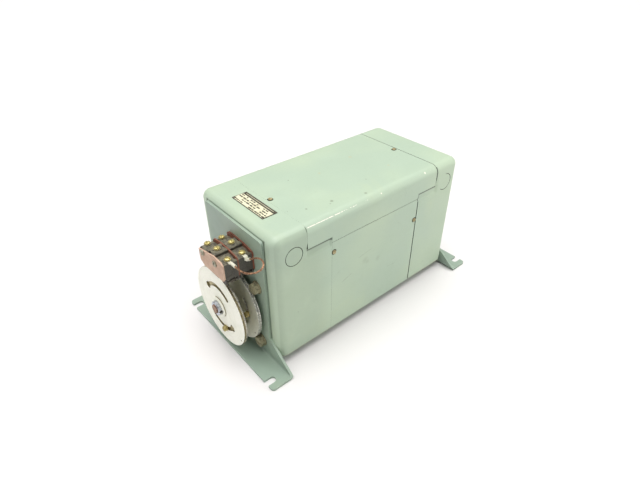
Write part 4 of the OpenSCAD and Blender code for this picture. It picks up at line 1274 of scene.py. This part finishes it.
def dress(material, *nodes, edge=0.25, edge_tone=None):
    """A better material, and rounded edges unless edge is 0."""
    for name in nodes:
        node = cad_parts[name]
        node.data.materials[0] = material
        if not edge:
            continue
        weld = node.modifiers.new("weld", "WELD")
        weld.merge_threshold = 1e-6
        soften(node, edge, 40, 2, edge_tone)


def gangs(*stems):
    return [f"{stem}_{n}" for stem in stems for n in (1, 2, 3)]


# ---- running it ----

make_camera()
make_studio()
make_stage()

PAINT = cap_paint()
BRACKET_PAINT = sage_paint("sage_enamel_bracket", 0.22, (0.66, 0.685, 0.72))
PAN_PAINT = sage_paint("sage_enamel_pan", 0.15)
# Painted highlight along the sheets' rounded edges, with real chips.
LIT_CHIPPED_EDGE = lit_chipped_edge_paint("sage_enamel_lit_chipped_edge")
# Painted highlight: the brackets' edges much lighter than their paint.
LIT_CHIPPED_BRACKET_EDGE = lit_chipped_edge_paint("sage_enamel_bracket_edge", (1.25, 1.22, 1.25))
# Painted shade for the seams, the cut edges and the cut rings, notches and dimples.
SEAM_SHADE = seam_shade()
make_shells(PAINT, lid_paint(), panel_paint(), LIT_CHIPPED_EDGE, SEAM_SHADE)
make_lips(SEAM_SHADE)

CREAM = cam_paint("cream_cam_paint", face=(250, 251, 238), shade=(242, 244, 228), edge=(170, 160, 122),
                  grubby=(150, 146, 122), dirt=0.10)
BACK_DISC = cam_paint("bare_cam_metal", face=(206, 196, 156), shade=(176, 166, 128), edge=(206, 204, 190),
                      grubby=(112, 104, 76), dirt=0.5)
# Painted shade: the rear discs darker towards the top.
OLIVE = cam_paint("dull_cam_metal", face=(240, 242, 228), shade=(228, 230, 214), edge=(232, 232, 222),
                  grubby=(142, 148, 130), dirt=0.35, upper_shade=(-32, 25, 0.5))
KHAKI = metal("passivated_steel", (160, 156, 124), (74, 68, 52), 0.45, 1.3, 0.3, 0.7, bump=0.12)
CLAMP_BRASS = metal("clamp_brass", (190, 176, 118), (90, 76, 44), 0.4, 1.0, 0.5, 0.6, bump=0.06)
BRASS = metal("screw_brass", (222, 210, 140), (112, 92, 44), 0.32, 1.0, 0.6, 0.6)
DULL_BRASS = metal("dull_brass", (206, 192, 150), (104, 88, 60), 0.42, 0.8, 0.5, 0.7)
TINNED = metal("tinned_brass", (240, 240, 222), (170, 166, 138), 0.38, 1.2, 0.35, 0.35)
CUP = metal("cup_washer_metal", (186, 178, 140), (98, 88, 62), 0.4, 1.0, 0.5, 0.6)
DULL_STEEL = metal("dull_screw_steel", (176, 174, 154), (84, 80, 64), 0.42, 1.0, 0.5, 0.75)
STEEL = metal("plain_steel", (206, 206, 196), (112, 106, 92), 0.36, 1.5, 0.7, 0.4)
# A darker steel; the levers under the switches and small parts take it.
DARK_STEEL = metal("darkened_steel", (96, 92, 80), (48, 44, 38), 0.45, 1.5, 0.6, 0.5)
ZINC = metal("bright_collar", (206, 212, 222), (130, 130, 124), 0.25, 1.0, 0.9, 0.3, (1, 8, 1))
RUST = metal("rusty_steel", (168, 138, 116), (70, 48, 38), 0.5, 1.0, 0.4, 0.8, bump=0.10)
ALLOY = metal("rolled_alloy", (196, 196, 192), (130, 130, 126), 0.40, 3.0, 0.95, 0.3, (1, 1, 0.2))
IRON = metal("core_iron", (92, 86, 82), (48, 42, 38), 0.6, 0.8, 0.7, 0.4, (1, 8, 1))
BLACK = plastic("switch_bakelite", (62, 60, 52), (140, 136, 112), 0.5, 0.75)
BOARD = plastic("terminal_board", (64, 46, 34), (116, 104, 88), 0.5, 0.3)
CARBON = plastic("brush_carbon", (30, 30, 30), (60, 60, 58), 0.6, 0.2)
RED = plastic("plunger_red", (130, 38, 30), (120, 90, 76), 0.4, 0.2)
INK = plastic("plate_enamel", (52, 52, 40), (120, 112, 90), 0.5, 0.3)
FIELD = fibre("plate_field", (230, 230, 200), (184, 180, 146), 0.3)
FIBRE_DARK = fibre("fibre_red_brown", (134, 84, 62), (84, 50, 38))
FIBRE_PINK = fibre("fibre_pink_brown", (204, 176, 154), (176, 142, 120), 0.3)

make_nameplate(FIELD, INK, DARK_STEEL)
make_cover_screws(DULL_BRASS)
make_terminal_screws(BRASS, CUP)
make_switch_screws(DULL_STEEL)
make_cam_screws(CLAMP_BRASS)
make_tie_hardware(KHAKI)
make_hub("cam_hub_front", "front_hub", ZINC, CREAM)
make_hub("cam_hub_rear", "rear_hub", ZINC, OLIVE)
make_switch("switch_front", "front_switch_case", BLACK)
make_switch("switch_rear", "rear_switch_case", BLACK)
make_jumper(braid())

dress(BRACKET_PAINT, "front_bracket", "rear_bracket", edge=0.45, edge_tone=LIT_CHIPPED_BRACKET_EDGE)
dress(PAN_PAINT, "bottom_pan", edge=0.3)
dress(CREAM, "cam_adjust_front", edge=0.12)
dress(OLIVE, "cam_adjust_rear", "cam_fixed_rear", edge=0.12)
dress(BACK_DISC, "cam_fixed_front", edge=0.12)
dress(KHAKI, "spacer_tubes", edge=0.3)
dress(BRASS, "front_bearing", "rear_bearing", edge=0.3)
dress(DULL_BRASS, "roller_front", "roller_rear", edge=0.2)
dress(DARK_STEEL, "hub_set_screws", "hinge_pins", "lever_front", "lever_rear", edge=0.12)
dress(STEEL, "stop_collar", edge=0.3)
dress(RUST, "shaft", edge=0.4)
dress(ALLOY, *gangs("gang_plate", "brush_arm"), edge=0.4)
dress(IRON, *gangs("core"), edge=0)
dress(wound_copper(), *gangs("winding"), edge=0)
dress(BOARD, *gangs("terminal_board"), edge=0.3)
dress(CARBON, "brushes", edge=0.2)
dress(RED, "plunger_front", "plunger_rear", edge=0.2)
dress(FIBRE_DARK, "insulator_middle", "insulator_rear", edge=0.15)
dress(FIBRE_PINK, "insulator_front", edge=0.15)
dress(TINNED, "jumper_lugs", edge=0.12)
